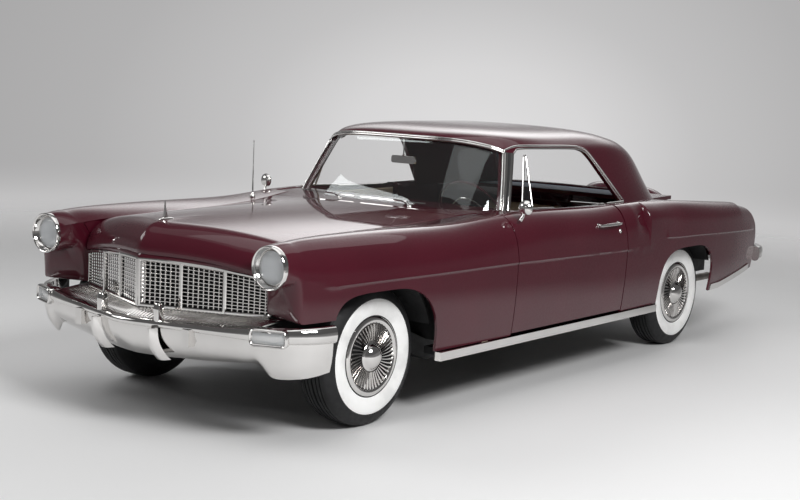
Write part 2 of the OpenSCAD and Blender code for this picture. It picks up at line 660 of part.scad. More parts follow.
// Headlamps and tail lamps
module headlamps() {
    color(chrome) both_sides() translate([lamp_x, -2500, lamp_z]) rotate([90, 0, 0]) rotate_extrude()
        polygon([[0, 0], [96, 0], [96, 66], [bezel_r, 66], [bezel_r, 80], [98, 88], [90, 90], [70, 96], [0, 102]]);
}
tail_lamp_at = [810, 2448, 700];
tail_lamp_r = 42;
module tail_lamps() {
    color([0.6, 0.05, 0.05]) both_sides() translate(tail_lamp_at) rotate([-90, 0, 0])
        cylinder(r = tail_lamp_r, h = tail_lamp_r);
}

// Seats: side outlines of a cushion and its back, as y and z
FRONT_CUSHION = [[-330, 334], [-330, 520], [190, 500], [190, 334]];
FRONT_BACK = [[150, 500], [240, 880], [345, 880], [310, 340], [200, 340], [200, 500]];
REAR_CUSHION = [[560, 334], [560, 545], [1000, 530], [1000, 410], [880, 334]];
REAR_BACK = [[970, 520], [1060, 900], [1150, 900], [1150, 505], [1050, 445], [1010, 430], [1010, 530]];
module seat_form(half, cushion, back) {
    difference() {
        translate([-half, 0, 0]) rotate([90, 0, 90]) linear_extrude(2 * half) {
            polygon(rounded(cushion, 45));
            polygon(rounded(back, 35));
        }
        tunnel(tunnel_r + sheet + 1);
    }
}
module front_seat() { color(cream) seat_form(700, FRONT_CUSHION, FRONT_BACK); }
module rear_seat() { color(cream) seat_form(560, REAR_CUSHION, REAR_BACK); }
module interior_mirror() {
    color(chrome) {
        bar([0, -600, 1240], [0, -600, 1346], 6);
        block([-90, -606, 1200], [90, -590, 1245]);
    }
}
antenna_at = [-700, -1135, 968.5];
module antenna() {
    color(chrome) translate(antenna_at) {
        cylinder(r = 2.2, h = 331);
        cylinder(r = 9, h = 18);
    }
}

// Hood: the front edge sweeps back from a point, and its nose falls to the grille
function hood_front(x) = -2650 + 0.34 * (sqrt(x ^ 2 + 50 ^ 2) - 50);
function hood_rear(x) = -1046 + 0.00016 * x ^ 2;
// Columns: y, centre z of the hood
HOOD_Z = [[-2650, 966], [-2450, 976], [-2100, 986], [-1600, 991], [-1000, 992]];
nose_fall = 132;
nose_len = 150;
HOOD_S = [0, 0.006, 0.018, 0.036, 0.06, 0.09, 0.16, 0.28, 0.4, 0.52, 0.64, 0.76, 0.88, 1];
HOOD_T = [-1, -0.86, -0.7, -0.52, -0.34, -0.17, -0.05, 0, 0.05, 0.17, 0.34, 0.52, 0.7, 0.86, 1];
function hood_point(s, t) =
    let (y0 = mix(-2420, -1000, s), x = t * (at(SIDE, 6, y0) - gap), y = mix(hood_front(x), hood_rear(x), s),
         d = clamp(y - hood_front(x), 0, nose_len), fall = nose_fall * (1 - sqrt(1 - (1 - d / nose_len) ^ 2)),
         edge = at(SIDE, 7, clamp(y, -2450, -900)), mid = at(HOOD_Z, 1, y))
    [x, y, mix(mid, edge, abs(t) ^ 2.3) - fall];
module hood() {
    outer = [for (s = HOOD_S) [for (t = HOOD_T) hood_point(s, t)]];
    inner = [for (i = [0:len(HOOD_S) - 1]) [for (p = outer[i]) p - [0, -10 * (1 - HOOD_S[i]), lid_t]]];
    color(paint) slab(outer, inner);
}

// Deck lid with the round hump of the spare wheel
// Columns: y, centre z of the deck
DECK_Z = [[1500, 962], [1700, 950], [1950, 920], [2200, 868], [2430, 790]];
hump_y = 2130;
hump_r = 320;
hump_h = 78;
function hump(x, y) = hump_h * (1 - (clamp(norm([x, y - hump_y]), 0, hump_r) / hump_r) ^ 6);
DECK_S = [0, 0.12, 0.25, 0.35, 0.42, 0.48, 0.55, 0.65, 0.75, 0.85, 0.93, 1];
DECK_T = [-1, -0.8, -0.62, -0.52, -0.45, -0.38, -0.28, -0.14, 0, 0.14, 0.28, 0.38, 0.45, 0.52, 0.62, 0.8, 1];
function deck_point(s, t) =
    let (y = mix(1506, 2414, s), x = t * (at(SIDE, 6, y) - gap),
         z = mix(at(DECK_Z, 1, y), at(SIDE, 7, y), abs(t) ^ 2.5))
    [x, y, z + hump(x, y)];
module deck_lid() {
    outer = [for (s = DECK_S) [for (t = DECK_T) deck_point(s, t)]];
    inner = [for (c = outer) [for (p = c) p - [0, 0, lid_t]]];
    color(paint) slab(outer, inner);
}

// Left door: outer skin to inner face, its rear face bevelled so that it swings clear
DOOR_Y = [door_front, -640, -450, -250, -50, 150, 300, door_rear];
rear_bevel = 0.13;
door_foot = 352;
function door_ring(y) =
    let (p = side_profile(y, door_foot), n = len(p),
         ring = concat([[door_inner_x, y, door_foot], [door_inner_x, y, p[0][2] - 10]],
                       [for (i = [1:n - 1]) [max(p[i][0], door_inner_x + i), p[i][1], p[i][2]]]))
    [for (q = ring) [q[0], y == door_rear ? y - (984 - q[0]) * rear_bevel : y, q[2]]];
module door() { loft([for (y = DOOR_Y) door_ring(y)]); }
module door_left() { color(paint) door(); }
module door_right() { color(paint) mirror([1, 0, 0]) door(); }

// Vent window of a door, which leans in with the glass, and the outside mirror
vent_lean = 17;
vent_x = 806;
handle_z = 884;
handle_x = 982;
handle_y = [55, 312];
handle_r = 7;
module door_trim(with_mirror) {
    color(chrome) {
        translate([vent_x, 0, 996]) rotate([0, -vent_lean, 0]) rotate([90, 0, 90]) linear_extrude(12) difference() {
            polygon([[-560, 0], [-425, 318], [-395, 318], [-440, 0]]);
            polygon([[-535, 15], [-425, 272], [-416, 262], [-455, 15]]);
        }
        bar([handle_x, handle_y[0], handle_z], [handle_x, handle_y[1], handle_z], handle_r);
        for (y = [handle_y[0] + 20, handle_y[1] - 20]) bar([961, y, handle_z], [handle_x, y, handle_z], 6);
        if (with_mirror) {
            bar([944, -764, 970], [958, -752, 1030], 7);
            bar([955, -755, 1030], [955, -735, 1030], 42);
        }
    }
}
module door_trim_left() { door_trim(true); }
module door_trim_right() { mirror([1, 0, 0]) door_trim(false); }

// Steering wheel: a thin rim with two spokes on its hub
module steering_wheel() {
    color(paint) translate(wheel_centre) rotate([-column_lean, 0, 0]) {
        rotate_extrude() translate([215, 0]) circle(r = 10, $fn = 32);
        translate([0, 0, -68]) cylinder(r = 28, h = 60);
        for (a = [0, 180]) rotate([0, 0, a]) block([20, -12, -34], [210, 12, -4]);
    }
}

// Steering knuckle: the upright, the stub axle and the brake's backing plate
upright_x = kingpin_x - 30;
module knuckle() {
    color(dark) {
        translate([upright_x, front_y, arm_low - 20]) cylinder(r = 22, h = 225);
        translate([upright_x, front_y, tyre_r]) rotate([0, 90, 0]) cylinder(r = 26, h = 107);
        translate([690, front_y, tyre_r]) rotate([0, 90, 0]) cylinder(r = 150, h = 12);
    }
}
module knuckle_left() { knuckle(); }
module knuckle_right() { mirror([1, 0, 0]) knuckle(); }

// Tyre section: distance from its middle plane and radius
half_tyre = tyre_w / 2;
TYRE = [[-78, 191], [-96, 214], [-half_tyre, 256], [-98, 298], [-84, 326], [-70, 342], [-40, tyre_r],
        [40, tyre_r], [70, 342], [84, 326], [98, 298], [half_tyre, 256], [96, 214], [78, 191]];
module tyre(x, y) {
    color(dark) translate([x, y, tyre_r]) rotate([0, 90, 0]) rotate_extrude()
        polygon([for (p = TYRE) [p[1], p[0]]]);
}
module tyre_front_left() { tyre(track_front, front_y); }
module tyre_front_right() { tyre(-track_front, front_y); }
module tyre_rear_left() { tyre(track_rear, rear_y); }
module tyre_rear_right() { tyre(-track_rear, rear_y); }

// Wheel: rim, disc and cover, as radius and distance outward
RIM = [[0, 20], [120, 20], [165, -20], [165, -80], [191, -80], [191, 78], [cover_r, 84],
       [cover_r - 14, 100], [130, 92], [70, 96], [60, 112], [30, 126], [0, 130]];
module wheel(x, y, out) {
    color(chrome) translate([x, y, tyre_r]) rotate([0, 90 * out, 0]) rotate_extrude()
        polygon([for (p = RIM) [p[0], p[1]]]);
}
module wheel_front_left() { wheel(track_front, front_y, 1); }
module wheel_front_right() { wheel(-track_front, front_y, -1); }
module wheel_rear_left() { wheel(track_rear, rear_y, 1); }
module wheel_rear_right() { wheel(-track_rear, rear_y, -1); }

frame();
cross_members();
floor_pan();
wheel_housings();
engine();
radiator();
front_suspension();
rear_axle();
exhaust();
fuel_tank();
front_fender_left();
front_fender_right();
rear_quarter_left();
rear_quarter_right();
cowl();
dashboard();
roof();
windshield();
rear_window();
rear_panel();
rear_shelf();
sill_mouldings();
grille();
front_bumper();
rear_bumper();
headlamps();
tail_lamps();
front_seat();
rear_seat();
interior_mirror();
antenna();
hood();
deck_lid();
door_left();
door_right();
door_trim_left();
door_trim_right();
steering_wheel();
knuckle_left();
knuckle_right();
tyre_front_left();
tyre_front_right();
tyre_rear_left();
tyre_rear_right();
wheel_front_left();
wheel_front_right();
wheel_rear_left();
wheel_rear_right();
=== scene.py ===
import math
import bpy
import bmesh
import numpy as np
from mathutils.bvhtree import BVHTree
from mathutils import Matrix, Vector


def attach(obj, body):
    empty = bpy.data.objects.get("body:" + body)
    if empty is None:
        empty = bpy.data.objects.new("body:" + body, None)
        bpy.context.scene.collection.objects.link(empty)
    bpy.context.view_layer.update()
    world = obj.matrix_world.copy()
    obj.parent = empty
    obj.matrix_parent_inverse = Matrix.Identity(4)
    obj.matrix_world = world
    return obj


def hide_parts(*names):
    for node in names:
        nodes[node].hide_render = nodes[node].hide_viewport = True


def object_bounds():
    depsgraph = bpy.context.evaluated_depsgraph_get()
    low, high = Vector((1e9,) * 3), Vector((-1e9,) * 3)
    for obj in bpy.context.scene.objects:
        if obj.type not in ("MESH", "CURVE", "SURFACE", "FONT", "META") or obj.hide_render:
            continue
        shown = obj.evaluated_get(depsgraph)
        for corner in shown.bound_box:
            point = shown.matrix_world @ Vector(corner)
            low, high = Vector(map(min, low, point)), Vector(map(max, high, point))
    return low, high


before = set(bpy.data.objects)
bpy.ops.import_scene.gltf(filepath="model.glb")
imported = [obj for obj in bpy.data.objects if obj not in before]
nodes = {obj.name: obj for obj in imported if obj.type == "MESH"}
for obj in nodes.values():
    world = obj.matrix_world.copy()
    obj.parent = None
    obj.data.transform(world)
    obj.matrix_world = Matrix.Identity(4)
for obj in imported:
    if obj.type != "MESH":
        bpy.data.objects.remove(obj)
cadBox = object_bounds()
mm = 0.001
print("frame loaded")


studio = {
    "azimuth": 37.338, "elevation": 7.271, "roll": 2.379,
    "place": (5.0704, -7.2439, 1.7517), "focalPixels": 1421.75, "pictureWidth": 800,
    "floorColour": (0.80, 0.80, 0.80), "floorFade": (4.5, 10.5), "floorHalf": 15.0, "floorSteps": 65,
    "glowPlace": (0.045, 1.0, -0.055), "glowShape": (1.0, 1.0, 1.5),
    "wallRamp": [(0.0, 0.75), (0.0435, 0.68), (0.08, 0.54), (0.13, 0.44), (0.165, 0.41), (0.225, 0.35),
                 (0.40, 0.22), (0.55, 0.18), (1.0, 0.20)],
    "floorRamp": [(0.0, 0.71), (0.19, 0.71), (0.27, 0.60), (0.42, 0.24), (0.55, 0.19), (0.72, 0.30), (1.0, 0.62)],
    "horizonBlend": (-0.132, -0.070), "upperFade": (0.05, 0.20, 0.5),
    "sweepEdge": ((0.93, 0.366), 2.20, 3.40),
    "lamps": {
        "overhead": ((0.6, -0.4, 4.8), (0, -0.2, 0), (7.0, 3.6), 60),
        "key": ((6.2, -3.0, 5.4), (0.5, -1.0, 0.6), (3.0, 2.0), 400),
        "strip": ((2.0, -7.8, 3.6), (0.2, -2.2, 0.8), (2.6, 0.30), 14),
        "leftSide": ((-5.0, -5.0, 4.6), (-0.6, -1.6, 0.2), (3.5, 2.5), 110),
    },
    "softbox": ((0.14, 0.90, 0.42), (0.32, 0.65, 0.15), 3.0),
    "sky": (0.3, 1.05),
}


def makeCamera():
    # the camera's axes come from its azimuth and elevation, then turn about the line of sight by the roll
    az, el, roll = (math.radians(studio[k]) for k in ("azimuth", "elevation", "roll"))
    back = Vector((math.sin(az) * math.cos(el), -math.cos(az) * math.cos(el), math.sin(el)))
    side = Vector((0, 0, 1)).cross(back).normalized()
    up = back.cross(side)
    turnedSide = side * math.cos(roll) + up * math.sin(roll)
    turnedUp = up * math.cos(roll) - side * math.sin(roll)
    data = bpy.data.cameras.new("camera")
    data.sensor_width = 36
    data.lens = studio["focalPixels"] * 36 / studio["pictureWidth"]
    data.clip_end = 200
    camera = bpy.data.objects.new("camera", data)
    bpy.context.scene.collection.objects.link(camera)
    grid = Matrix((turnedSide, turnedUp, back)).transposed().to_4x4()
    grid.translation = Vector(studio["place"])
    camera.matrix_world = grid
    bpy.context.scene.camera = camera


makeCamera()
scene = bpy.context.scene
scene.view_settings.view_transform = "Standard"


def splineAt(table, column, values):
    # smooth cubic curve through one column of a table, with no bend at its two ends
    xs, ys = table[:, 0], table[:, column]
    gaps = np.diff(xs)
    count = len(xs)
    left = np.eye(count)
    right = np.zeros(count)
    for i in range(1, count - 1):
        left[i, i - 1:i + 2] = gaps[i - 1], 2 * (gaps[i - 1] + gaps[i]), gaps[i]
        right[i] = 6 * ((ys[i + 1] - ys[i]) / gaps[i] - (ys[i] - ys[i - 1]) / gaps[i - 1])
    bend = np.linalg.solve(left, right)
    values = np.asarray(values, float)
    at = np.clip(np.searchsorted(xs, values) - 1, 0, count - 2)
    h, a, b = gaps[at], xs[at + 1] - values, values - xs[at]
    return (bend[at] * a ** 3 / (6 * h) + bend[at + 1] * b ** 3 / (6 * h)
            + (ys[at] / h - bend[at] * h / 6) * a + (ys[at + 1] / h - bend[at + 1] * h / 6) * b)


def mix(a, b, s):
    return a + (b - a) * s


def smoothStep(low, high, v):
    # eases from 0 at low to 1 at high, which may be the smaller of the two
    s = np.clip((np.asarray(v, float) - low) / (high - low), 0, 1)
    return s * s * (3 - 2 * s)


def gridFaces(rows, cols, closeRows=False, closeCols=False, flip=False):
    # quads between neighbours of a grid of points, whose two ways may each close on themselves
    ids = np.arange(rows * cols).reshape(rows, cols)
    if closeRows:
        ids = np.vstack([ids, ids[:1]])
    if closeCols:
        ids = np.hstack([ids, ids[:, :1]])
    quads = np.stack([ids[:-1, :-1], ids[1:, :-1], ids[1:, 1:], ids[:-1, 1:]], -1).reshape(-1, 4)
    return quads[:, ::-1] if flip else quads


def gridOf(x, y, z):
    # grid of points from coordinates that broadcast to one shape
    return np.stack(np.broadcast_arrays(x, y, z), -1)


def sheetOf(points, closeRows=False, closeCols=False, flip=False, material=0):
    # one part: its points, its faces and the number of its material
    rows, cols = points.shape[:2]
    return {"points": points.reshape(-1, 3), "faces": gridFaces(rows, cols, closeRows, closeCols, flip),
            "material": material}


def closedSweep(points, material=0):
    # rings one after another, with flat ends
    part = sheetOf(points, closeCols=True, material=material)
    count = points.shape[1]
    last = (len(points) - 1) * count
    part["faces"] = [list(f) for f in part["faces"]] + [list(range(count))[::-1], list(range(last, last + count))]
    return part


def gridNormals(points):
    # unit vector across a grid at each point, from the slopes along its two ways
    along = np.gradient(points, axis=0)
    across = np.gradient(points, axis=1)
    normal = np.cross(along, across)
    return normal / np.maximum(np.linalg.norm(normal, axis=2, keepdims=True), 1e-12)


def plateOf(points, inner, flip=False, material=0, openStart=False):
    # a sheet with thickness: its outer and inner grid, and a rim that joins them, left open at the first row or not
    rows, cols = points.shape[:2]
    size = rows * cols
    ids = np.arange(size).reshape(rows, cols)
    faces = [gridFaces(rows, cols), gridFaces(rows, cols)[:, ::-1] + size]
    for edge, turn in ((ids[0], 0), (ids[-1], 1), (ids[:, 0], 1), (ids[:, -1], 0))[int(openStart):]:
        quads = np.stack([edge[:-1], edge[1:], edge[1:] + size, edge[:-1] + size], -1)
        faces.append(quads[:, ::-1] if turn else quads)
    faces = np.vstack(faces)
    return {"points": np.vstack([points.reshape(-1, 3), inner.reshape(-1, 3)]),
            "faces": faces[:, ::-1] if flip else faces, "material": material}


def mirrored(part):
    return {**part, "points": part["points"] * (-1, 1, 1), "faces": [f[::-1] for f in part["faces"]]}


def bothSides(parts):
    return parts + [mirrored(p) for p in parts]


def turned(part, axis, angle, centre=(0, 0, 0)):
    grid = np.array(Matrix.Rotation(angle, 3, axis))
    centre = np.array(centre)
    return {**part, "points": (part["points"] - centre) @ grid.T + centre}


def moved(part, by):
    return {**part, "points": part["points"] + np.array(by)}


def makePiece(name, parts, body, materials, slotName=None, replaced=(), sharp=35, bevel=0, fix=False):
    # one object from parts, at the origin, smooth except where faces meet at more than an angle
    points, faces, numbers, start = [], [], [], 0
    for part in parts:
        points.append(part["points"])
        faces += [[int(v) + start for v in f] for f in part["faces"]]
        numbers += [part["material"]] * len(part["faces"])
        start += len(part["points"])
    mesh = bpy.data.meshes.new(name)
    mesh.from_pydata(np.vstack(points).tolist(), [], faces)
    for m in materials if isinstance(materials, (list, tuple)) else [materials]:
        mesh.materials.append(m)
    mesh.polygons.foreach_set("material_index", numbers)
    work = bmesh.new()
    work.from_mesh(mesh)
    bmesh.ops.remove_doubles(work, verts=work.verts, dist=1e-6)
    bmesh.ops.dissolve_degenerate(work, edges=work.edges, dist=1e-6)
    if fix:
        bmesh.ops.recalc_face_normals(work, faces=work.faces)
    work.to_mesh(mesh)
    work.free()
    mesh.polygons.foreach_set("use_smooth", [True] * len(mesh.polygons))
    mesh.set_sharp_from_angle(angle=math.radians(sharp))
    piece = bpy.data.objects.new(name, mesh)
    scene.collection.objects.link(piece)
    if bevel:
        edge = piece.modifiers.new("edge", "BEVEL")
        edge.width, edge.segments, edge.limit_method = bevel, 2, "ANGLE"
        edge.angle_limit, edge.harden_normals = math.radians(50), True
    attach(piece, body)
    if replaced:
        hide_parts(*replaced)
    return piece


def makePair(name, parts, body, materials, slotName, replaced="", **more):
    # the same piece on the left and, mirrored, on the right; a door's pieces ride on their own door
    for label, end, shapes in (("Left", "_left", parts), ("Right", "_right", [mirrored(p) for p in parts])):
        makePiece(name + label, shapes, body + end if body == "door" else body, materials, slotName,
                  [replaced + end] if replaced else (), fix=True, **more)


def roundedOutline(corners, radii, steps=6):
    # closed outline whose corners are arcs, each tangent to the two sides that meet there
    corners = np.asarray(corners, float)
    count = len(corners)
    radii = [radii] * count if np.isscalar(radii) else radii
    outline = []
    for i, b in enumerate(corners):
        a, c = corners[i - 1], corners[(i + 1) % count]
        u, v = (a - b) / np.linalg.norm(a - b), (c - b) / np.linalg.norm(c - b)
        half = math.acos(np.clip(u @ v, -1, 1)) / 2
        reach = min(radii[i] / math.tan(half), 0.49 * np.linalg.norm(a - b), 0.49 * np.linalg.norm(c - b))
        middle = b + (u + v) / np.linalg.norm(u + v) * reach / math.cos(half)
        s, e, sweep = b + u * reach - middle, b + v * reach - middle, math.pi - 2 * half
        f = np.linspace(0, 1, steps + 1)[:, None]
        outline.append(middle + (np.sin((1 - f) * sweep) * s + np.sin(f * sweep) * e) / math.sin(sweep))
    return np.vstack(outline)


def resampled(path, count, closed=False):
    # points at even steps along a path
    path = np.asarray(path, float)
    if closed:
        path = np.vstack([path, path[:1]])
    run = np.concatenate([[0], np.cumsum(np.linalg.norm(np.diff(path, axis=0), axis=1))])
    marks = np.linspace(0, run[-1], count + 1)[:-1] if closed else np.linspace(0, run[-1], count)
    return np.stack([np.interp(marks, run, path[:, k]) for k in range(path.shape[1])], -1)


def curveThrough(path, count):
    # smooth curve through a few points, by a cubic spline over the run between them
    path = np.asarray(path, float)
    run = np.concatenate([[0], np.cumsum(np.linalg.norm(np.diff(path, axis=0), axis=1))])
    marks = np.linspace(0, run[-1], count)
    table = np.column_stack([run, path])
    return np.stack([splineAt(table, k + 1, marks) for k in range(path.shape[1])], -1)


def carried(path, profile, out, closed=False, caps=True, material=0, flip=False, size=None):
    # a closed profile carried along a path: its first coordinate runs outward and its second across
    path = np.asarray(path, float)
    if closed:
        ahead, behind = np.roll(path, -1, 0), np.roll(path, 1, 0)
    else:
        ahead, behind = np.vstack([path[1:], path[-1:]]), np.vstack([path[:1], path[:-1]])
    along = ahead - behind
    along /= np.linalg.norm(along, axis=1, keepdims=True)
    out = np.broadcast_to(np.asarray(out, float), path.shape)
    out = out - along * np.sum(out * along, axis=1, keepdims=True)
    out = out / np.linalg.norm(out, axis=1, keepdims=True)
    across = np.cross(along, out)
    size = np.ones(len(path)) if size is None else np.asarray(size, float)
    profile = np.asarray(profile, float)
    points = (path[:, None] + profile[None, :, :1] * (out * size[:, None])[:, None]
              + profile[None, :, 1:2] * (across * size[:, None])[:, None])
    part = sheetOf(points, closeRows=closed, closeCols=True, flip=flip, material=material)
    if caps and not closed:
        count = len(profile)
        first, last = list(range(count)), list(range((len(path) - 1) * count, len(path) * count))
        ends = [first[::-1], last] if flip else [first, last[::-1]]
        part["faces"] = [list(f) for f in part["faces"]] + ends
    return part


def tube(path, radius, sides=12, material=0, closed=False):
    # round bar along a path, whose radius may change from point to point
    path = np.asarray(path, float)
    turn = np.linspace(0, 2 * math.pi, sides, endpoint=False)
    ring = np.column_stack([np.cos(turn), np.sin(turn)])
    direction = path[min(1, len(path) - 1)] - path[0]
    out = (0, 0, 1) if abs(direction[2]) < 0.7 * np.linalg.norm(direction) else (1, 0.2, 0)
    radius = np.broadcast_to(radius, len(path))
    return carried(path, ring, out, closed=closed, material=material, size=radius)


def lathe(profile, centre, axis, steps=96, material=0, flip=False):
    # (radius, distance) profile turned about an axis through a centre; a zero radius closes it in a pole
    profile = np.asarray(profile, float)
    axis = np.asarray(axis, float) / np.linalg.norm(axis)
    side = np.cross(axis, (0, 0, 1) if abs(axis[2]) < 0.9 else (1, 0, 0))
    side /= np.linalg.norm(side)
    up = np.cross(axis, side)
    turn = np.linspace(0, 2 * math.pi, steps, endpoint=False)
    ring = np.cos(turn)[:, None] * side + np.sin(turn)[:, None] * up
    points = np.asarray(centre) + profile[None, :, :1] * ring[:, None] + profile[None, :, 1:2] * axis
    return sheetOf(points, closeRows=True, flip=flip, material=material)


def prism(outline, low, high, axes=(0, 1, 2), material=0):
    # solid of a flat outline between two places on a third axis
    outline = np.asarray(outline, float)
    count = len(outline)
    points = np.zeros((2 * count, 3))
    for k, place in enumerate((low, high)):
        points[k * count:(k + 1) * count, axes[0]] = outline[:, 0]
        points[k * count:(k + 1) * count, axes[1]] = outline[:, 1]
        points[k * count:(k + 1) * count, axes[2]] = place
    ids = np.arange(count)
    walls = np.stack([ids, np.roll(ids, -1), np.roll(ids, -1) + count, ids + count], -1).tolist()
    return {"points": points, "faces": walls + [ids[::-1].tolist(), (ids + count).tolist()], "material": material}


def boxOf(low, high, material=0):
    corners = [(low[0], low[1]), (high[0], low[1]), (high[0], high[1]), (low[0], high[1])]
    return prism(corners, low[2], high[2], material=material)


def cutAway(piece, cutters):
    # takes closed shapes out of a piece, then deletes them
    for parts in cutters:
        tool = makePiece("cutter", parts, "body", [], fix=True)
        step = piece.modifiers.new("cut", "BOOLEAN")
        step.operation, step.solver, step.object = "DIFFERENCE", "EXACT", tool
        applyModifiers(piece)
        bpy.data.objects.remove(tool)


def applyModifiers(piece):
    seen = piece.evaluated_get(bpy.context.evaluated_depsgraph_get())
    mesh = bpy.data.meshes.new_from_object(seen)
    old = piece.data
    piece.modifiers.clear()
    piece.data = mesh
    bpy.data.meshes.remove(old)


def addNode(tree, kind, fixed=(), wired=(), **settings):
    # a shader node with its settings, its fixed inputs and the sockets wired into its other inputs
    node = tree.nodes.new("ShaderNode" + kind)
    for key, value in settings.items():
        setattr(node, key, value)
    for key, value in dict(fixed).items():
        node.inputs[key].default_value = value
    for key, source in dict(wired).items():
        tree.links.new(source, node.inputs[key])
    return node


def startMaterial(name, colour, roughness=0.4, metallic=0.0, **sockets):
    material = bpy.data.materials.new(name)
    material.use_nodes = True
    material.diffuse_color = (*colour, 1)
    shader = material.node_tree.nodes["Principled BSDF"]
    shader.inputs["Base Color"].default_value = (*colour, 1)
    shader.inputs["Roughness"].default_value = roughness
    shader.inputs["Metallic"].default_value = metallic
    for key, value in sockets.items():
        shader.inputs[key.replace("_", " ")].default_value = value
    return material, material.node_tree, shader


def patternOf(tree, scale, detail=3, kind="TexNoise"):
    # a procedural pattern on object coordinates, in the object's own metres
    where = addNode(tree, "TexCoord").outputs["Object"]
    fixed = {"Scale": scale, "Detail": detail} if kind == "TexNoise" else {"Scale": scale}
    return addNode(tree, kind, fixed, {"Vector": where}).outputs[0]


def rampColour(tree, source, socket, low, high):
    ramp = addNode(tree, "ValToRGB", wired={"Fac": source})
    first, last = ramp.color_ramp.elements
    first.position, last.position = 0.35, 0.65
    first.color, last.color = (*low, 1), (*high, 1)
    tree.links.new(ramp.outputs["Color"], socket)


def rampValue(tree, source, socket, low, high):
    ranged = addNode(tree, "MapRange", {"From Min": 0.3, "From Max": 0.7, "To Min": low, "To Max": high},
                     {"Value": source})
    tree.links.new(ranged.outputs["Result"], socket)


def addBump(tree, shader, source, distance, strength, socket="Normal"):
    bump = addNode(tree, "Bump", {"Strength": strength, "Distance": distance}, {"Height": source})
    tree.links.new(bump.outputs["Normal"], shader.inputs[socket])


def scaled(colour, share):
    return tuple(share * c for c in colour)


finish = {
    "paint": (0.070, 0.0036, 0.0125), "paintDeep": (0.060, 0.0028, 0.0105), "chrome": (0.80, 0.785, 0.77),
    "leather": (0.63, 0.52, 0.385), "leatherDeep": (0.56, 0.45, 0.325), "carpet": (0.20, 0.135, 0.10),
    "headliner": (0.40, 0.37, 0.33), "rubber": (0.010, 0.010, 0.011), "whitewall": (0.86, 0.86, 0.85),
    "underbody": (0.018, 0.018, 0.019), "engine": (0.10, 0.105, 0.11), "exhaust": (0.22, 0.20, 0.18),
    # the last colour on the next line is near black: painted shade for the space behind the grille and the wheel
    # covers' recesses
    "redLens": (0.42, 0.008, 0.008), "seal": (0.014, 0.014, 0.015), "shadeBlack": (0.006, 0.006, 0.007),
    # the first colour on the next line is a pale silver whose diffuse share keeps lamp bowls and mirror bright: partly
    # painted reflection
    "silverSheen": (0.92, 0.92, 0.93), "plastic": (0.05, 0.006, 0.012), "dial": (0.62, 0.60, 0.56),
    "tank": (0.16, 0.165, 0.17), "cooler": (0.010, 0.010, 0.011), "piping": (0.060, 0.012, 0.016),
    "pipingDeep": (0.045, 0.008, 0.012), "dash": (0.070, 0.006, 0.014), "dashDeep": (0.055, 0.004, 0.010),
    # the cloth below is made darker to stand for the shade on the lining beside the rear window: painted shade
    "shadeCloth": (0.20, 0.225, 0.28),
}


def paintFinish():
    m, tree, shader = startMaterial("paint", finish["paint"], 0.5, Coat_Weight=1.0, Coat_Roughness=0.02,
                                    Coat_IOR=1.5, Specular_IOR_Level=0.12)
    rampColour(tree, patternOf(tree, 2.2, 4), shader.inputs["Base Color"], finish["paintDeep"], finish["paint"])
    rampValue(tree, patternOf(tree, 90, 2), shader.inputs["Roughness"], 0.42, 0.55)
    addBump(tree, shader, patternOf(tree, 260, 1), 0.00002, 0.35, "Coat Normal")
    return m


def chromeFinish():
    m, tree, shader = startMaterial("chrome", finish["chrome"], 0.06, 1.0)
    rampValue(tree, patternOf(tree, 14, 4), shader.inputs["Roughness"], 0.035, 0.10)
    rampColour(tree, patternOf(tree, 5), shader.inputs["Base Color"], scaled(finish["chrome"], 0.94),
               finish["chrome"])
    return m


def glassFinish():
    # thin pane: a tenth of it mirrors at about half strength, the rest lets light straight through
    m, tree, shader = startMaterial("glass", (0.45, 0.48, 0.48), 0.0, 0.9, Alpha=0.10)
    rampValue(tree, patternOf(tree, 3, 2), shader.inputs["Roughness"], 0.0, 0.012)
    return m


def lampGlassFinish():
    m, tree, shader = startMaterial("lampGlass", (0.90, 0.93, 0.95), 0.05, Alpha=0.42, Coat_Weight=1.0,
                                    Coat_Roughness=0.02)
    where = addNode(tree, "TexCoord").outputs["Object"]
    flutes = addNode(tree, "TexWave", {"Scale": 26}, {"Vector": where}, bands_direction="X")
    addBump(tree, shader, flutes.outputs["Fac"], 0.0015, 0.5)
    rampValue(tree, patternOf(tree, 40, 2), shader.inputs["Roughness"], 0.0, 0.05)
    return m


def rubberFinish(name, low=0.5, high=0.7):
    base = finish[name]
    m, tree, shader = startMaterial(name, base, 0.6, Specular_IOR_Level=0.4)
    rampColour(tree, patternOf(tree, 9, 4), shader.inputs["Base Color"], base, tuple(1.25 * c + 0.003 for c in base))
    rampValue(tree, patternOf(tree, 30), shader.inputs["Roughness"], low, high)
    addBump(tree, shader, patternOf(tree, 420, 2), 0.0002, 0.4)
    return m


def leatherFinish(name, colour, deep):
    m, tree, shader = startMaterial(name, finish[colour], 0.42, Coat_Weight=0.08, Coat_Roughness=0.3)
    rampColour(tree, patternOf(tree, 7, 5), shader.inputs["Base Color"], finish[deep], finish[colour])
    addBump(tree, shader, patternOf(tree, 330, kind="TexVoronoi"), 0.0006, 0.35)
    rampValue(tree, patternOf(tree, 60), shader.inputs["Roughness"], 0.34, 0.52)
    return m


def clothFinish(name, pitch=700, depth=0.0008):
    colour = finish[name]
    m, tree, shader = startMaterial(name, colour, 0.9, Sheen_Weight=0.25, Sheen_Roughness=0.5)
    rampColour(tree, patternOf(tree, 18, 5), shader.inputs["Base Color"], scaled(colour, 0.82), colour)
    addBump(tree, shader, patternOf(tree, pitch, 2), depth, 0.6)
    rampValue(tree, patternOf(tree, 80, 2), shader.inputs["Roughness"], 0.82, 0.97)
    return m


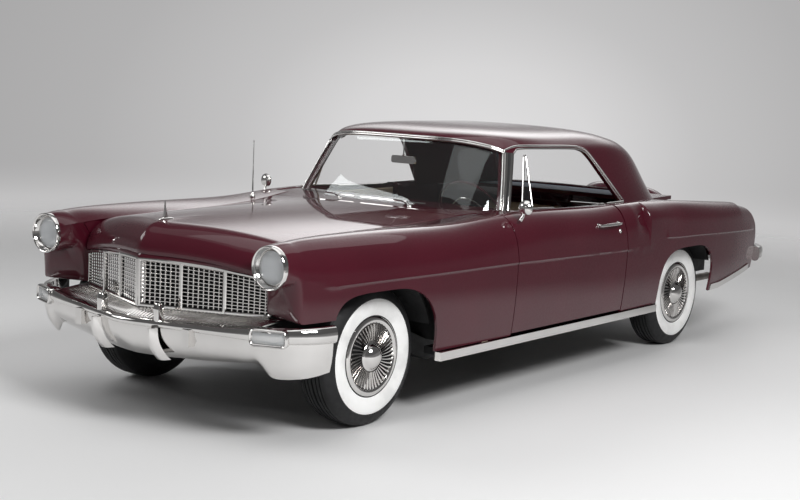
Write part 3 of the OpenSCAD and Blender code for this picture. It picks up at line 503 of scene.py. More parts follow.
def castFinish(name, colour, low, high, metallic=0.0, grain=45, depth=0.0006):
    # a cast, moulded or painted surface; low and high are its roughness, grain the scale of its bumps
    base = finish[colour]
    m, tree, shader = startMaterial(name, base, high, metallic)
    rampColour(tree, patternOf(tree, 12, 5), shader.inputs["Base Color"], scaled(base, 0.7), scaled(base, 1.15))
    rampValue(tree, patternOf(tree, 26), shader.inputs["Roughness"], low, high)
    addBump(tree, shader, patternOf(tree, grain, 4), depth, 0.5)
    return m


paint = paintFinish()
chrome = chromeFinish()
glass = glassFinish()
lampGlass = lampGlassFinish()
rubber = rubberFinish("rubber")
whitewall = rubberFinish("whitewall", 0.42, 0.55)
seal = rubberFinish("seal", 0.55, 0.75)
leather = leatherFinish("leather", "leather", "leatherDeep")
pipe = leatherFinish("piping", "piping", "pipingDeep")
topLeather = leatherFinish("topLeather", "dash", "dashDeep")
headliner = clothFinish("headliner")
carpet = clothFinish("carpet", 380, 0.003)
# cloth darkened as painted shade, for the lining beside the rear window and for the shelf
shadeCloth = clothFinish("shadeCloth")
underbody = castFinish("underbody", "underbody", 0.55, 0.8)
enginePaint = castFinish("enginePaint", "engine", 0.35, 0.55)
exhaustMetal = castFinish("exhaustMetal", "exhaust", 0.35, 0.6, 0.8)
# near black finish: painted shade in the wheel covers' recesses and behind the grille, where the tray is also black
# paint
shadeBlack = castFinish("shadeBlack", "shadeBlack", 0.7, 0.9)
# silver finish, a quarter of it diffuse pale white so bowls and mirror look bright whatever they face: partly painted
# reflection
silverSheen = castFinish("silverSheen", "silverSheen", 0.16, 0.24, 0.75, 200, 0.0001)
redLens = castFinish("redLens", "redLens", 0.06, 0.14, 0.0, 300, 0.0002)
shinyPlastic = castFinish("shinyPlastic", "plastic", 0.10, 0.18, 0.0, 200, 0.0001)
dialFace = castFinish("dialFace", "dial", 0.3, 0.4, 0.0, 300, 0.0001)
tankMetal = castFinish("tankMetal", "tank", 0.35, 0.55, 0.7, 90, 0.0003)
coolerPaint = castFinish("coolerPaint", "cooler", 0.35, 0.55, 0.2, 160, 0.0006)
print("finishes made")


def eased(tree, source, start, end, low=0.0, high=1.0):
    # eases from low to high while the source runs from start to end
    fixed = {"From Min": start, "From Max": end, "To Min": low, "To Max": high}
    return addNode(tree, "MapRange", fixed, {"Value": source}, interpolation_type="SMOOTHSTEP").outputs["Result"]


def vectorNode(tree, operation, first, second=None, output="Vector"):
    # a sum on vectors; the second is a constant when it is a tuple
    fixed, wired = ({1: second}, {}) if isinstance(second, tuple) else ({}, {1: second} if second else {})
    return addNode(tree, "VectorMath", fixed, {0: first, **wired}, operation=operation).outputs[output]


def makeFloor():
    # a pale floor that fades out far from the car, and past a line on the right of the view
    line = np.linspace(-studio["floorHalf"], studio["floorHalf"], studio["floorSteps"])
    x, y = np.meshgrid(line, line, indexing="ij")
    low = min(cadBox[0][2], 0.0)
    floor = bpy.data.meshes.new("floor")
    floor.from_pydata(np.stack([x, y, np.full_like(x, low)], -1).reshape(-1, 3).tolist(), [],
                      gridFaces(len(line), len(line)).tolist())
    piece = bpy.data.objects.new("floor", floor)
    scene.collection.objects.link(piece)
    colour = studio["floorColour"]
    m, tree, shader = startMaterial("studioFloor", colour, 0.55, Specular_IOR_Level=0.15)
    rampColour(tree, patternOf(tree, 0.5), shader.inputs["Base Color"], colour, scaled(colour, 1.02))
    where = addNode(tree, "TexCoord").outputs["Object"]
    normal, start, end = studio["sweepEdge"]
    far = eased(tree, vectorNode(tree, "LENGTH", where, output="Value"), *studio["floorFade"])
    aside = eased(tree, vectorNode(tree, "DOT_PRODUCT", where, (*normal, 0), "Value"), start, end)
    most = addNode(tree, "Math", wired={0: far, 1: aside}, operation="MAXIMUM").outputs["Value"]
    clear = addNode(tree, "BsdfTransparent").outputs["BSDF"]
    blend = addNode(tree, "MixShader", wired={"Fac": most, 1: shader.outputs["BSDF"], 2: clear})
    tree.links.new(blend.outputs["Shader"], tree.nodes["Material Output"].inputs["Surface"])
    floor.materials.append(m)


def levelRamp(tree, source, rows):
    # grey level by distance, with a trace of warmth
    ramp = addNode(tree, "ValToRGB", wired={"Fac": source})
    spots = ramp.color_ramp.elements
    spots[0].position, spots[1].position = rows[0][0], rows[-1][0]
    for k, (place, level) in enumerate(rows):
        spot = spots[0] if k == 0 else spots[len(spots) - 1] if k == len(rows) - 1 else spots.new(place)
        spot.color = (level, level * 0.99, level * 0.995, 1)
    return ramp.outputs["Color"]


def makeWorld():
    # a wall whose glow fades with the distance from one direction behind the car, and a floor below it
    world = bpy.data.worlds.new("studio")
    scene.world = world
    world.use_nodes = True
    tree = world.node_tree
    way = addNode(tree, "TexCoord").outputs["Generated"]
    rise = addNode(tree, "SeparateXYZ", wired={0: way}).outputs["Z"]
    turn = addNode(tree, "Mapping", {"Rotation": (0, 0, -math.radians(studio["azimuth"]))},
                   {"Vector": way}).outputs["Vector"]
    away = vectorNode(tree, "SUBTRACT", turn, studio["glowPlace"])
    away = vectorNode(tree, "MULTIPLY", away, scaled(studio["glowShape"], 0.5))
    distance = vectorNode(tree, "LENGTH", away, output="Value")
    wall, ground = levelRamp(tree, distance, studio["wallRamp"]), levelRamp(tree, distance, studio["floorRamp"])
    start, end, level = studio["upperFade"]
    dimmed = addNode(tree, "VectorMath", wired={0: wall, "Scale": eased(tree, rise, start, end, 1.0, level)},
                     operation="SCALE").outputs["Vector"]
    join = addNode(tree, "Mix", data_type="RGBA",
                   wired={"Factor": eased(tree, rise, *studio["horizonBlend"]), "A": ground, "B": dimmed})
    # a soft light high behind the car: its level times e to the minus square of the distance from its middle
    middle, reach, level = studio["softbox"]
    off = vectorNode(tree, "DIVIDE", vectorNode(tree, "SUBTRACT", turn, middle), reach)
    square = vectorNode(tree, "DOT_PRODUCT", off, off, "Value")
    bell = addNode(tree, "Math", {0: math.exp(-1)}, {1: square}, operation="POWER").outputs["Value"]
    lit = addNode(tree, "Math", {1: level}, {0: bell}, operation="MULTIPLY").outputs["Value"]
    tree.links.new(vectorNode(tree, "ADD", join.outputs["Result"], lit), tree.nodes["Background"].inputs["Color"])


def makeLamps():
    for name, (place, aim, area, power) in studio["lamps"].items():
        data = bpy.data.lights.new(name, "AREA")
        data.shape = "RECTANGLE"
        data.size, data.size_y, data.energy = area[0], area[1], power
        lamp = bpy.data.objects.new(name, data)
        scene.collection.objects.link(lamp)
        lamp.location = place
        lamp.rotation_euler = (Vector(aim) - Vector(place)).to_track_quat("-Z", "Y").to_euler()
        if name == "overhead":
            lamp.rotation_euler = (0, 0, math.pi / 2)
        lamp.visible_camera = False
        lamp.visible_transmission = False
    data = bpy.data.lights.new("sky", "SUN")
    data.energy, data.angle = studio["sky"]
    scene.collection.objects.link(bpy.data.objects.new("sky", data))


makeFloor()
makeWorld()
makeLamps()
print("studio made")


# columns: y, waist x, crease z, foot x, crest x, crest z, inner edge x, inner edge z, in millimetres
sideTable = mm * np.array([
    [-2500, 902, 785, 868, 781, 950, 640, 896], [-2400, 918, 768, 882, 783, 958, 628, 908],
    [-2150, 940, 752, 905, 786, 966, 612, 922], [-1880, 955, 747, 925, 791, 968, 606, 932],
    [-1500, 968, 744, 940, 800, 966, 610, 942], [-1200, 976, 744, 948, 812, 969, 632, 955],
    [-830, 982, 743, 955, 835, 990, 700, 984], [-300, 984, 733, 958, 850, 996, 805, 990],
    [385, 984, 722, 958, 852, 985, 805, 984], [520, 985, 752, 957, 866, 987, 792, 985],
    [850, 986, 762, 954, 876, 986, 770, 984], [1270, 984, 754, 950, 874, 969, 716, 958],
    [1800, 968, 738, 926, 850, 936, 668, 896], [2180, 936, 722, 894, 830, 908, 650, 842],
    [2440, 900, 704, 860, 812, 876, 640, 780]])

# heights of the crease line, which steps up at the rear wheel
creaseTable = mm * np.array([[-2500, 741], [-2339, 746], [-1600, 747], [-842, 744], [-363, 735],
                             [385, 722], [727, 716]])
rearCreaseTable = mm * np.array([[840, 768], [877, 765], [1270, 752], [1800, 734], [2258, 719], [2440, 712]])

side = {
    "sill": 0.340, "noseFoot": 0.586, "noseEnd": -2.272, "tailFoot": 0.330, "gap": 0.006,
    "frontArch": (-1.895, 0.395, 0.390, 5.0, 2.6, 0.696), "rearArch": (1.265, 0.415, 0.378, 3.5, 3.2, 0.678),
    "creaseRise": 0.0055,
}


def archHeight(arch, y):
    centre, ahead, behind, powerAhead, powerBehind, top = arch
    power = np.where(y < centre, powerAhead, powerBehind)
    d = np.minimum(np.abs(y - centre) / np.where(y < centre, ahead, behind), 1)
    return side["sill"] + (top - side["sill"]) * (1 - d ** power) ** (1 / power)


def archRows(arch, steps):
    # places along a wheel arch, close together where its edge is steep
    centre, ahead, behind, powerAhead, powerBehind = arch[:5]
    a = np.linspace(0, math.pi / 2, steps)
    return np.unique(np.concatenate([centre - ahead * np.cos(a) ** (2 / powerAhead),
                                     centre + behind * np.cos(a) ** (2 / powerBehind)]).round(5))


def footHeight(y):
    arches = np.maximum(archHeight(side["frontArch"], y), archHeight(side["rearArch"], y))
    tail = np.where(y > 1.7, side["tailFoot"] + (y - 1.7) * 0.13, 0)
    return np.where(y < side["noseEnd"], side["noseFoot"], np.maximum(arches, tail))


crestAngles = np.radians([90, 83, 75, 67, 59, 51, 43, 36, 29, 23, 17, 12, 8, 5, 2.8, 1.4, 0.6, 0])
sideSteps = np.array([0.004, 0.01, 0.02, 0.035, 0.06, 0.1, 0.16, 0.24, 0.33, 0.42, 0.51, 0.6, 0.68, 0.76,
                      0.84, 0.9, 0.95, 0.98, 1])


def crease(y, z):
    # how far the character line stands out: a slow rise from above, a sharp fall below
    front = splineAt(creaseTable, 1, np.clip(y, -2.5, 0.727))
    rear = splineAt(rearCreaseTable, 1, np.clip(y, 0.84, 2.44))
    total = 0
    for line, fade in ((front, smoothStep(-2.345, -2.30, y) * (1 - smoothStep(0.66, 0.735, y))),
                       (rear, smoothStep(0.87, 0.91, y) * (1 - smoothStep(2.32, 2.42, y)))):
        above = np.exp(-np.maximum(z - line, 0) / 0.022)
        below = np.exp(-(np.minimum(z - line, 0) / 0.006) ** 2)
        total = total + side["creaseRise"] * fade * np.where(z > line, above, below)
    return total


def sideProfile(y, low):
    # body side for each place along the car: inner edge, over the crest, over the waist and down to the foot
    y = np.asarray(y, float)[:, None]
    low = np.asarray(low, float)[:, None]
    waist, knee, foot, crestX, crestZ, innerX, innerZ = (splineAt(sideTable, k, y) for k in range(1, 8))
    v = np.linspace(1, 0, 9)[None, :-1]
    x = [mix(crestX, innerX, v)]
    z = [mix(crestZ, innerZ, v ** 1.6)]
    a = crestAngles[None]
    x.append(mix(crestX, waist, np.cos(a)))
    z.append(mix(knee, crestZ, np.sin(a)))
    below = mix(knee, low, sideSteps[None])
    u = np.clip((below - side["sill"]) / (knee - side["sill"]), -0.2, 1)
    x.append(mix(foot, waist, 1 - (1 - u) ** 2))
    z.append(below)
    x, z = np.hstack(x), np.hstack(z)
    y = np.broadcast_to(y, x.shape)
    return np.stack([x + crease(y, z), y, z], -1)


lampPlace = {"x": 0.780, "z": 0.839, "ring": 0.1015, "face": -2.572}
fender = {"setBack": 0.072, "noseStart": -2.47, "rear": -0.831, "innerWall": 0.634, "skin": 0.014, "noseRows": 30}


def makeFender():
    start, face = fender["noseStart"], lampPlace["face"]
    arch = archRows(side["frontArch"], 40)
    y = np.unique(np.concatenate([np.linspace(start, fender["rear"], 40), arch[arch > side["noseEnd"]],
                                  [side["noseEnd"] - 0.0005, side["noseEnd"]]]).round(5))
    y = y[y > start + 0.004]
    body = sideProfile(y, footHeight(y))
    inner = body - fender["skin"] * gridNormals(body) * sideSign(body)
    section = sideProfile([start], [side["noseFoot"]])[0]
    count = len(section)
    wall = resampled([section[0], (fender["innerWall"], start, section[0][2] - 0.02),
                         (fender["innerWall"], start, side["noseFoot"]), section[-1]], count)
    s = np.linspace(0, 1, fender["noseRows"])[:, None]
    rings = []
    for base in (section, wall):
        dx, dz = base[:, 0] - lampPlace["x"], base[:, 2] - lampPlace["z"]
        angle = np.arctan2(dz, dx)
        ringX, ringZ = lampPlace["ring"] * np.cos(angle), lampPlace["ring"] * np.sin(angle)
        # above, the nose flows straight out of the lamp's ring; below, it stays a tube and then turns out to a face
        flowing = 1 - (1 - s) ** 1.8
        late = np.clip((s - 0.50) / 0.50, 0, 1)
        faced = (1 - (1 - late) ** 2.6) ** 0.75
        low = smoothStep(0.20, 0.88, -np.sin(angle))[None]
        grow = mix(flowing, faced, low)
        back = fender["setBack"] * (base is wall) * np.clip((0.868 - base[:, 0]) / 0.234, 0, 1)
        back = back * smoothStep(0.10, -0.04, dz)
        rings.append(np.stack([lampPlace["x"] + mix(ringX, dx, grow), mix(face, start + back[None], s),
                               lampPlace["z"] + mix(ringZ, dz, grow)], -1))
    return plateOf(np.vstack([rings[0], body]), flip=True, inner=np.vstack([rings[1], inner]),
                   openStart=True)


def sideSign(points):
    # +1 where a grid's own normals point out and up, -1 where they point in
    normal = gridNormals(points)
    return 1.0 if normal[len(points) // 2, points.shape[1] // 2, 0] > 0 else -1.0


makePair("frontFender", [makeFender()], "body", paint, "paint", "front_fender", bevel=0.0015)


def makeCheek():
    # wall that closes the fender beside the hood's nose, up to the fender's inner edge
    y = np.linspace(-2.472, -2.285, 18)[:, None]
    top = splineAt(sideTable, 7, np.clip(y, -2.5, 0)) - 0.003
    z = mix(side["noseFoot"], top, np.linspace(0, 1, 12)[None])
    y = y + fender["setBack"] * smoothStep(0.939, 0.799, z) * (1 - smoothStep(-2.47, -2.30, y))
    outer = gridOf(np.full_like(z, fender["innerWall"]), y, z)
    return plateOf(outer, inner=outer - (0.005, 0, 0))


makePiece("noseCheeks", bothSides([makeCheek()]), "body", paint, "paint", fix=True)
print("fenders made")

quarter = {"front": 0.386, "end": 2.440, "skin": 0.014, "wall": 0.790, "wallEnd": 0.845, "tailWall": 0.646,
           "tailStart": 2.395, "round": 0.014}
tailTable = mm * np.array([[340, 2449], [560, 2456], [668, 2454], [750, 2441], [815, 2412], [850, 2376], [880, 2312],
                           [905, 2215]])


def scoop(y, turn):
    # air scoop: a dent that ends at a lip, and a swelling behind it that fades into the crest
    across = np.exp(-((turn - 38) / 24.0) ** 2)
    dent = -0.020 * smoothStep(0.50, 0.63, y) * (1 - smoothStep(0.655, 0.668, y))
    swell = 0.013 * smoothStep(0.655, 0.668, y) * (1 - smoothStep(0.72, 1.15, y))
    return across * (dent + swell)


def makeQuarter():
    arch = archRows(side["rearArch"], 40)
    y = np.unique(np.concatenate([np.linspace(quarter["front"], quarter["end"], 70), arch, np.linspace(0.5, 0.72, 45),
                                  [1.7, quarter["wallEnd"], quarter["wallEnd"] + 0.004, quarter["tailStart"],
                                   quarter["tailStart"] + 0.004]]).round(5))
    outer = sideProfile(y, footHeight(y))
    turn = np.concatenate([np.linspace(130, 97, 8), np.degrees(crestAngles), -2 - 88 * sideSteps])
    normal = gridNormals(outer) * sideSign(outer)
    lift = scoop(y[:, None], turn[None])
    outer = outer + normal * lift[..., None]
    inner = outer - quarter["skin"] * normal
    count = outer.shape[1]
    for i, place in enumerate(y):
        row = outer[i]
        wallX = quarter["wall"] if place <= quarter["wallEnd"] else quarter["tailWall"]
        if place <= quarter["wallEnd"] or place >= quarter["tailStart"]:
            inner[i] = resampled([row[0] - (0, 0, 0.006), (wallX, place, row[0][2] - 0.012),
                                     (wallX, place, row[-1][2]), row[-1] - (0.004, 0, 0)], count)
    # the tail leans forward at its top
    for grid in (outer, inner):
        reach = np.interp(grid[..., 2], tailTable[:, 0], tailTable[:, 1])
        grid[..., 1] = np.where(grid[..., 1] > 2.15, 2.15 + (grid[..., 1] - 2.15) * (reach - 2.15) / 0.29,
                                grid[..., 1])
    return plateOf(outer, flip=True, inner=inner)


quarterPart = makeQuarter()
makePair("rearQuarter", [quarterPart], "body", paint, "paint", "rear_quarter", bevel=0.002)
print("quarters made")

door = {"front": -0.825, "rear": 0.380, "foot": 0.352, "inner": 0.805, "bevel": 0.13, "widest": 0.984}


def makeDoor():
    y = np.linspace(door["front"], door["rear"], 60)
    outer = sideProfile(y, np.full(60, door["foot"]))
    outer[..., 0] = np.maximum(outer[..., 0], door["inner"] + 0.0006 * np.arange(outer.shape[1]))
    inner = np.zeros_like(outer)
    for i, row in enumerate(outer):
        inner[i] = resampled([row[0] - (0, 0, 0.004), (door["inner"], y[i], row[0][2] - 0.010),
                                 (door["inner"], y[i], door["foot"]), row[-1] - (0.004, 0, 0)], len(row))
    for grid in (outer, inner):
        share = smoothStep(0.30, 0.38, grid[..., 1])
        grid[..., 1] -= share * np.maximum(door["widest"] - grid[..., 0], 0) * door["bevel"]
    return plateOf(outer, flip=True, inner=inner)


doorPart = makeDoor()
makePair("door", [doorPart], "door", paint, "paint", "door", bevel=0.002)
print("doors made")

hoodTable = mm * np.array([[-2650, 966], [-2450, 976], [-2100, 986], [-1600, 991], [-1000, 992]])
hood = {"noseFall": 0.132, "noseLength": 0.150, "skin": 0.014, "point": 0.018, "sweep": 0.34}


def hoodFront(x):
    return -2.650 + hood["sweep"] * (np.sqrt(x ** 2 + hood["point"] ** 2) - hood["point"])


def hoodRear(x):
    return -1.046 + 0.16 * x ** 2


def hoodSurface(s, t):
    # s runs back from the nose and t across; the height falls from the middle to the fenders' inner edges
    place = mix(-2.420, -1.000, s)
    x = t * (splineAt(sideTable, 6, place) - side["gap"])
    y = mix(hoodFront(x), hoodRear(x), s)
    d = np.clip(y - hoodFront(x), 0, hood["noseLength"]) / hood["noseLength"]
    fall = hood["noseFall"] * (1 - np.sqrt(1 - (1 - d) ** 2))
    edge = splineAt(sideTable, 7, np.clip(y, -2.45, -0.9))
    middle = splineAt(hoodTable, 1, y)
    ridge = 0.006 * np.exp(-np.abs(x) / 0.035) * (1 - smoothStep(-2.5, -2.1, y))
    return gridOf(x, y, mix(middle, edge, np.abs(t) ** 2.3) - fall + ridge)


def makeHood():
    s = np.linspace(0, 1, 90) ** 1.9
    half = 1 - (1 - np.linspace(0, 1, 46)) ** 0.9
    t = np.concatenate([-half[:0:-1], half])
    outer = hoodSurface(s[:, None], t[None])
    inner = outer - (0, -0.006, hood["skin"])
    return plateOf(outer, inner=inner)


makePiece("hoodPanel", [makeHood()], "hood", paint, "paint", ["hood"], fix=True, bevel=0.002)

deckTable = mm * np.array([[1500, 962], [1700, 950], [1950, 920], [2200, 868], [2430, 790]])
deck = {"front": 1.506, "rear": 2.414, "humpY": 2.130, "humpRadius": 0.320, "humpHeight": 0.078, "skin": 0.014}


def hump(x, y):
    d = np.minimum(np.hypot(x, y - deck["humpY"]) / deck["humpRadius"], 1)
    return deck["humpHeight"] * (1 - d ** 6)


def deckSurface(s, t):
    y = mix(deck["front"], deck["rear"], s)
    x = t * (splineAt(sideTable, 6, y) - side["gap"])
    z = mix(splineAt(deckTable, 1, y), splineAt(sideTable, 7, y), np.abs(t) ** 2.5)
    return gridOf(x, y, z + hump(x, y))


def makeDeck():
    outer = deckSurface(np.linspace(0, 1, 110)[:, None], np.linspace(-1, 1, 141)[None])
    return plateOf(outer, inner=outer - (0, 0, deck["skin"]))


makePiece("deckPanel", [makeDeck()], "deck_lid", paint, "paint", ["deck_lid"], fix=True, bevel=0.002)
print("hood and deck made")


greenTable = np.array([
    [0, 965, 812, -884, 1452], [1, 1094, 772, -815, 1330], [2, 1238, 728, -720, 1208], [3, 1316, 700, -665, 1072],
    [4, 1350, 670, -648, 985], [5, 1375, 636, -630, 870], [6, 1395, 590, -590, 760], [7, 1412, 520, -520, 640],
    [8, 1425, 420, -420, 510], [9, 1434, 290, -280, 390], [10, 1438.6, 130, -90, 290],
    [11, 1439.8, 1, 190, 210]], float)
greenTable[:, 1:] *= mm
green = {"middle": 0.200, "frontPower": 4.5, "rearPower": 4.0, "wall": 0.024, "rows": 56, "quarterSteps": 44}

# side view of the windows as (y, z), and rear view of the rear window as (x, z)
sideWindow = mm * np.array([[-590, 900], [-590, 990], [-440, 1300], [-405, 1326], [180, 1316], [270, 1296],
                            [330, 1250], [600, 975], [600, 900]])
frontWindow = mm * np.array([[-1200, 900], [-650, 900], [-645, 990], [-500, 1306], [-530, 1322], [-600, 1348],
                             [-660, 1368], [-1200, 1368]])
rearWindow = mm * np.array([[-560, 985], [560, 985], [560, 1040], [520, 1230], [470, 1290], [-470, 1290],
                            [-520, 1230], [-560, 1040]])
fineLevels = np.linspace(0, 11, 1200)
fineGreen = np.stack([splineAt(greenTable, k, fineLevels) for k in range(1, 5)], -1)


def greenAt(z):
    # half width, front and rear of the greenhouse at a height
    return [np.interp(z, fineGreen[:, 0], fineGreen[:, k]) for k in (1, 2, 3)]


def greenX(y, z, inset=0.0):
    half, front, rear = greenAt(np.asarray(z, float))
    y = np.asarray(y, float)
    reach = np.where(y < green["middle"], green["middle"] - front, rear - green["middle"]) - inset
    power = np.where(y < green["middle"], green["frontPower"], green["rearPower"])
    share = np.minimum(np.abs(y - green["middle"]) / reach, 1)
    return (half - inset) * np.maximum(1 - share ** power, 0) ** (1 / power)


def greenY(x, z, rear=True, inset=0.0):
    half, front, back = greenAt(np.asarray(z, float))
    share = np.minimum(np.abs(x) / (half - inset), 1)
    power = green["rearPower"] if rear else green["frontPower"]
    reach = (back - green["middle"] if rear else green["middle"] - front) - inset
    return green["middle"] + (1 if rear else -1) * reach * (1 - share ** power) ** (1 / power)


def greenRings(levels, inset):
    # superellipse rings, whose points are spread evenly by a power of the quarter turn
    z, half, front, rear = [splineAt(greenTable, k, levels)[:, None] for k in range(1, 5)]
    q = np.linspace(0, 1, green["quarterSteps"] + 1)[:-1]
    quarterTurn = np.pi / 2 * q ** 2.1 / (q ** 2.1 + (1 - q) ** 2.1)
    a = np.concatenate([quarterTurn + k * np.pi / 2 for k in range(4)])[None]
    c, s = np.cos(a), np.sin(a)
    power = np.where(s < 0, green["frontPower"], green["rearPower"])
    reach = np.where(s < 0, green["middle"] - front, rear - green["middle"]) - inset
    half = np.maximum(half - inset, 0.0005)
    reach = np.maximum(reach, 0.0005)
    drop = np.where(z > 1.33, inset, 0.3 * inset)
    x = np.sign(c) * np.abs(c) ** (2 / power) * half
    y = green["middle"] + np.sign(s) * np.abs(s) ** (2 / power) * reach
    return gridOf(x, y, z - drop)


def sideCut(outline, radius=0.02):
    return prism(roundedOutline(outline, radius), -1.2, 1.2, (1, 2, 0))


def rearCut(outline, radius=0.05):
    return prism(roundedOutline(outline, radius), 0.7, 2.2, (0, 2, 1))


def makeRoof():
    levels = np.linspace(0, 11, green["rows"])
    outer = greenRings(levels, 0)
    inner = greenRings(levels[levels < 10.6], green["wall"])
    shell = sheetOf(np.concatenate([outer, inner[::-1]]), closeRows=True, closeCols=True)
    roof = makePiece("roofPanel", [shell], "body", paint, "paint", ["roof"], fix=True, sharp=40)
    cutAway(roof, [[sideCut(sideWindow, [0.001, 0.001, 0.03, 0.03, 0.2, 0.08, 0.05, 0.03, 0.001])],
                   [sideCut(frontWindow, [0.001, 0.001, 0.02, 0.035, 0.06, 0.1, 0.001, 0.001])],
                   [rearCut(rearWindow)], [boxOf((-1.2, -1.2, 0.9), (1.2, 0.38, 0.985))],
                   [boxOf((-1.2, 0.37, 0.9), (1.2, 1.6, 0.966))]])
    roof.data.set_sharp_from_angle(angle=math.radians(35))


makeRoof()
print("roof made")

glassPane = {"frontInset": 0.010, "rearInset": 0.012, "thick": 0.005, "low": 0.986}


def makeWindshield():
    # rows of height, whose ends lie on the pillars' edge, and columns spread round the bend by angle
    z = np.concatenate([np.linspace(glassPane["low"], 1.306, 26), np.linspace(1.31, 1.3605, 16)])[:, None]
    limit = np.interp(z, [0.985, 1.306, 1.322, 1.348, 1.362], [-0.647, -0.500, -0.530, -0.600, -0.643])
    grids = []
    for inset in (glassPane["frontInset"], glassPane["frontInset"] + glassPane["thick"]):
        half, front = greenAt(z + 0.3 * inset)[:2]
        reach = green["middle"] - front - inset
        power = green["frontPower"]
        end = np.minimum((green["middle"] - limit) / reach, 1) ** (power / 2)
        first = np.arcsin(end)
        q = np.linspace(-1, 1, 81)[None]
        a = np.pi / 2 + q * (np.pi / 2 - first)
        x = np.sign(np.cos(a)) * np.abs(np.cos(a)) ** (2 / power) * (half - inset)
        y = green["middle"] - np.sin(a) ** (2 / power) * reach
        grids.append(gridOf(x, y, z))
    return plateOf(grids[0], inner=grids[1])


def makeRearGlass():
    z = np.linspace(0.976, 1.290, 30)[:, None]
    limit = np.interp(z, [0.975, 1.04, 1.23, 1.29], [0.560, 0.560, 0.520, 0.470])
    x = np.linspace(-1, 1, 61)[None] * limit
    grids = [gridOf(x, greenY(x, z + 0.3 * d, True, d), z)
             for d in (glassPane["rearInset"], glassPane["rearInset"] + glassPane["thick"])]
    return plateOf(grids[0], inner=grids[1])


makePiece("windshieldGlass", [makeWindshield()], "body", glass, "glass", ["windshield"], fix=True)
makePiece("rearGlass", [makeRearGlass()], "body", glass, "glass", ["rear_window"], fix=True)
print("glass made")

cowl = {"gap": 0.006, "horn": 0.792, "hornFront": -0.827, "hornRear": -0.580, "foot": 0.961}


def cowlHeight(x, y):
    edge = splineAt(sideTable, 7, np.clip(y, -1.2, -0.3))
    half = splineAt(sideTable, 6, np.clip(y, -1.2, -0.3))
    return mix(0.9905, edge, np.minimum(np.abs(x) / half, 1) ** 2.3)


def cowlSheet(front, rear, halfOf, rows, cols):
    # grid between two lines of y, each given for x, whose half width changes with y
    s = np.linspace(0, 1, rows)[:, None]
    t = np.linspace(-1, 1, cols)[None]
    guess = mix(front(0.5), rear(0.5), s)
    x = t * halfOf(guess)
    y = mix(front(x), rear(x), s)
    outer = gridOf(x, y, cowlHeight(x, y))
    return plateOf(outer, inner=outer * (1, 1, 0) + (0, 0, cowl["foot"]))


def makeCowl():
    inset = 2 * cowl["gap"]
    ahead = cowlSheet(lambda x: hoodRear(x) + cowl["gap"], lambda x: 0 * x - 0.832,
                      lambda y: splineAt(sideTable, 6, y) - inset, 14, 61)
    horns = cowlSheet(lambda x: 0 * x + cowl["hornFront"] - 0.005, lambda x: 0 * x + cowl["hornRear"],
                      lambda y: cowl["horn"] + 0 * y, 12, 61)
    return [ahead, horns]


makePiece("cowlPanel", makeCowl(), "body", paint, "paint", ["cowl"], fix=True)
print("cowl made")

tail = {"half": 0.642, "gap": 0.005, "skin": 0.016}


def tailY(z):
    # place of the tail's face at a height, as the rear quarters have it
    return np.interp(z, tailTable[:, 0], tailTable[:, 1]) - 0.002


def makeTailPanel():
    x = np.linspace(-tail["half"], tail["half"], 61)[None]
    top = deckSurface(np.array([[1.0]]), x / tail["half"])[..., 2] - tail["gap"] - 0.012
    z = mix(0.478, top, np.linspace(0, 1, 24)[:, None])
    outer = gridOf(x, tailY(z), z)
    inner = outer - (0, tail["skin"], 0)
    inner[..., 1] = np.maximum(inner[..., 1], 2.39)
    return plateOf(outer, inner=inner)


makePiece("tailPanel", [makeTailPanel()], "body", paint, "paint", ["rear_panel"], fix=True)
print("tail panel made")


def roundedBox(width, height, radius, steps=6):
    # rounded rectangle about the origin
    w, h = width / 2, height / 2
    return roundedOutline([(-w, -h), (w, -h), (w, h), (-w, h)], radius, steps)


def stacked(outlines, places, place, material=0):
    # solid through flat outlines of equal count at places along a third axis, carried to the world by a function
    rings = np.stack([np.column_stack([o, np.full(len(o), p)]) for o, p in zip(outlines, places)])
    return closedSweep(place(rings), material)


grille = {"tip": -2.652, "sweep": math.radians(20.6), "length": 0.690, "low": 0.584, "high": 0.792, "fall": 0.052,
          "posts": (0.0, 0.226, 0.452, 0.690), "columns": 8, "rows": 11, "rim": 0.012}
swept = np.array([math.cos(grille["sweep"]), math.sin(grille["sweep"]), 0])
ahead = np.array([math.sin(grille["sweep"]), -math.cos(grille["sweep"]), 0])


def grillePlace(p):
    # (along the half, height, out to the front) to the world
    p = np.asarray(p, float)
    return np.array([0, grille["tip"], 0]) + p[..., :1] * swept + p[..., 2:3] * ahead + p[..., 1:2] * (0, 0, 1)


def grilleTop(u):
    return grille["high"] - grille["fall"] * (np.asarray(u) / grille["length"]) ** 2


def grilleBar(path, wide, front, back):
    # slim bar along a path of (along, height), with a narrow front face
    path = np.asarray(path, float)
    step = np.gradient(path, axis=0)
    across = np.stack([-step[:, 1], step[:, 0]], -1) / np.linalg.norm(step, axis=1, keepdims=True)
    section = np.array([(-0.5, back), (-0.5, front - 0.004), (-0.22, front), (0.22, front), (0.5, front - 0.004),
                        (0.5, back)])
    points = np.concatenate([path[:, None] + section[None, :, :1] * across[:, None] * wide,
                             np.broadcast_to(section[None, :, 1:], (len(path), 6, 1))], -1)
    return closedSweep(grillePlace(points))


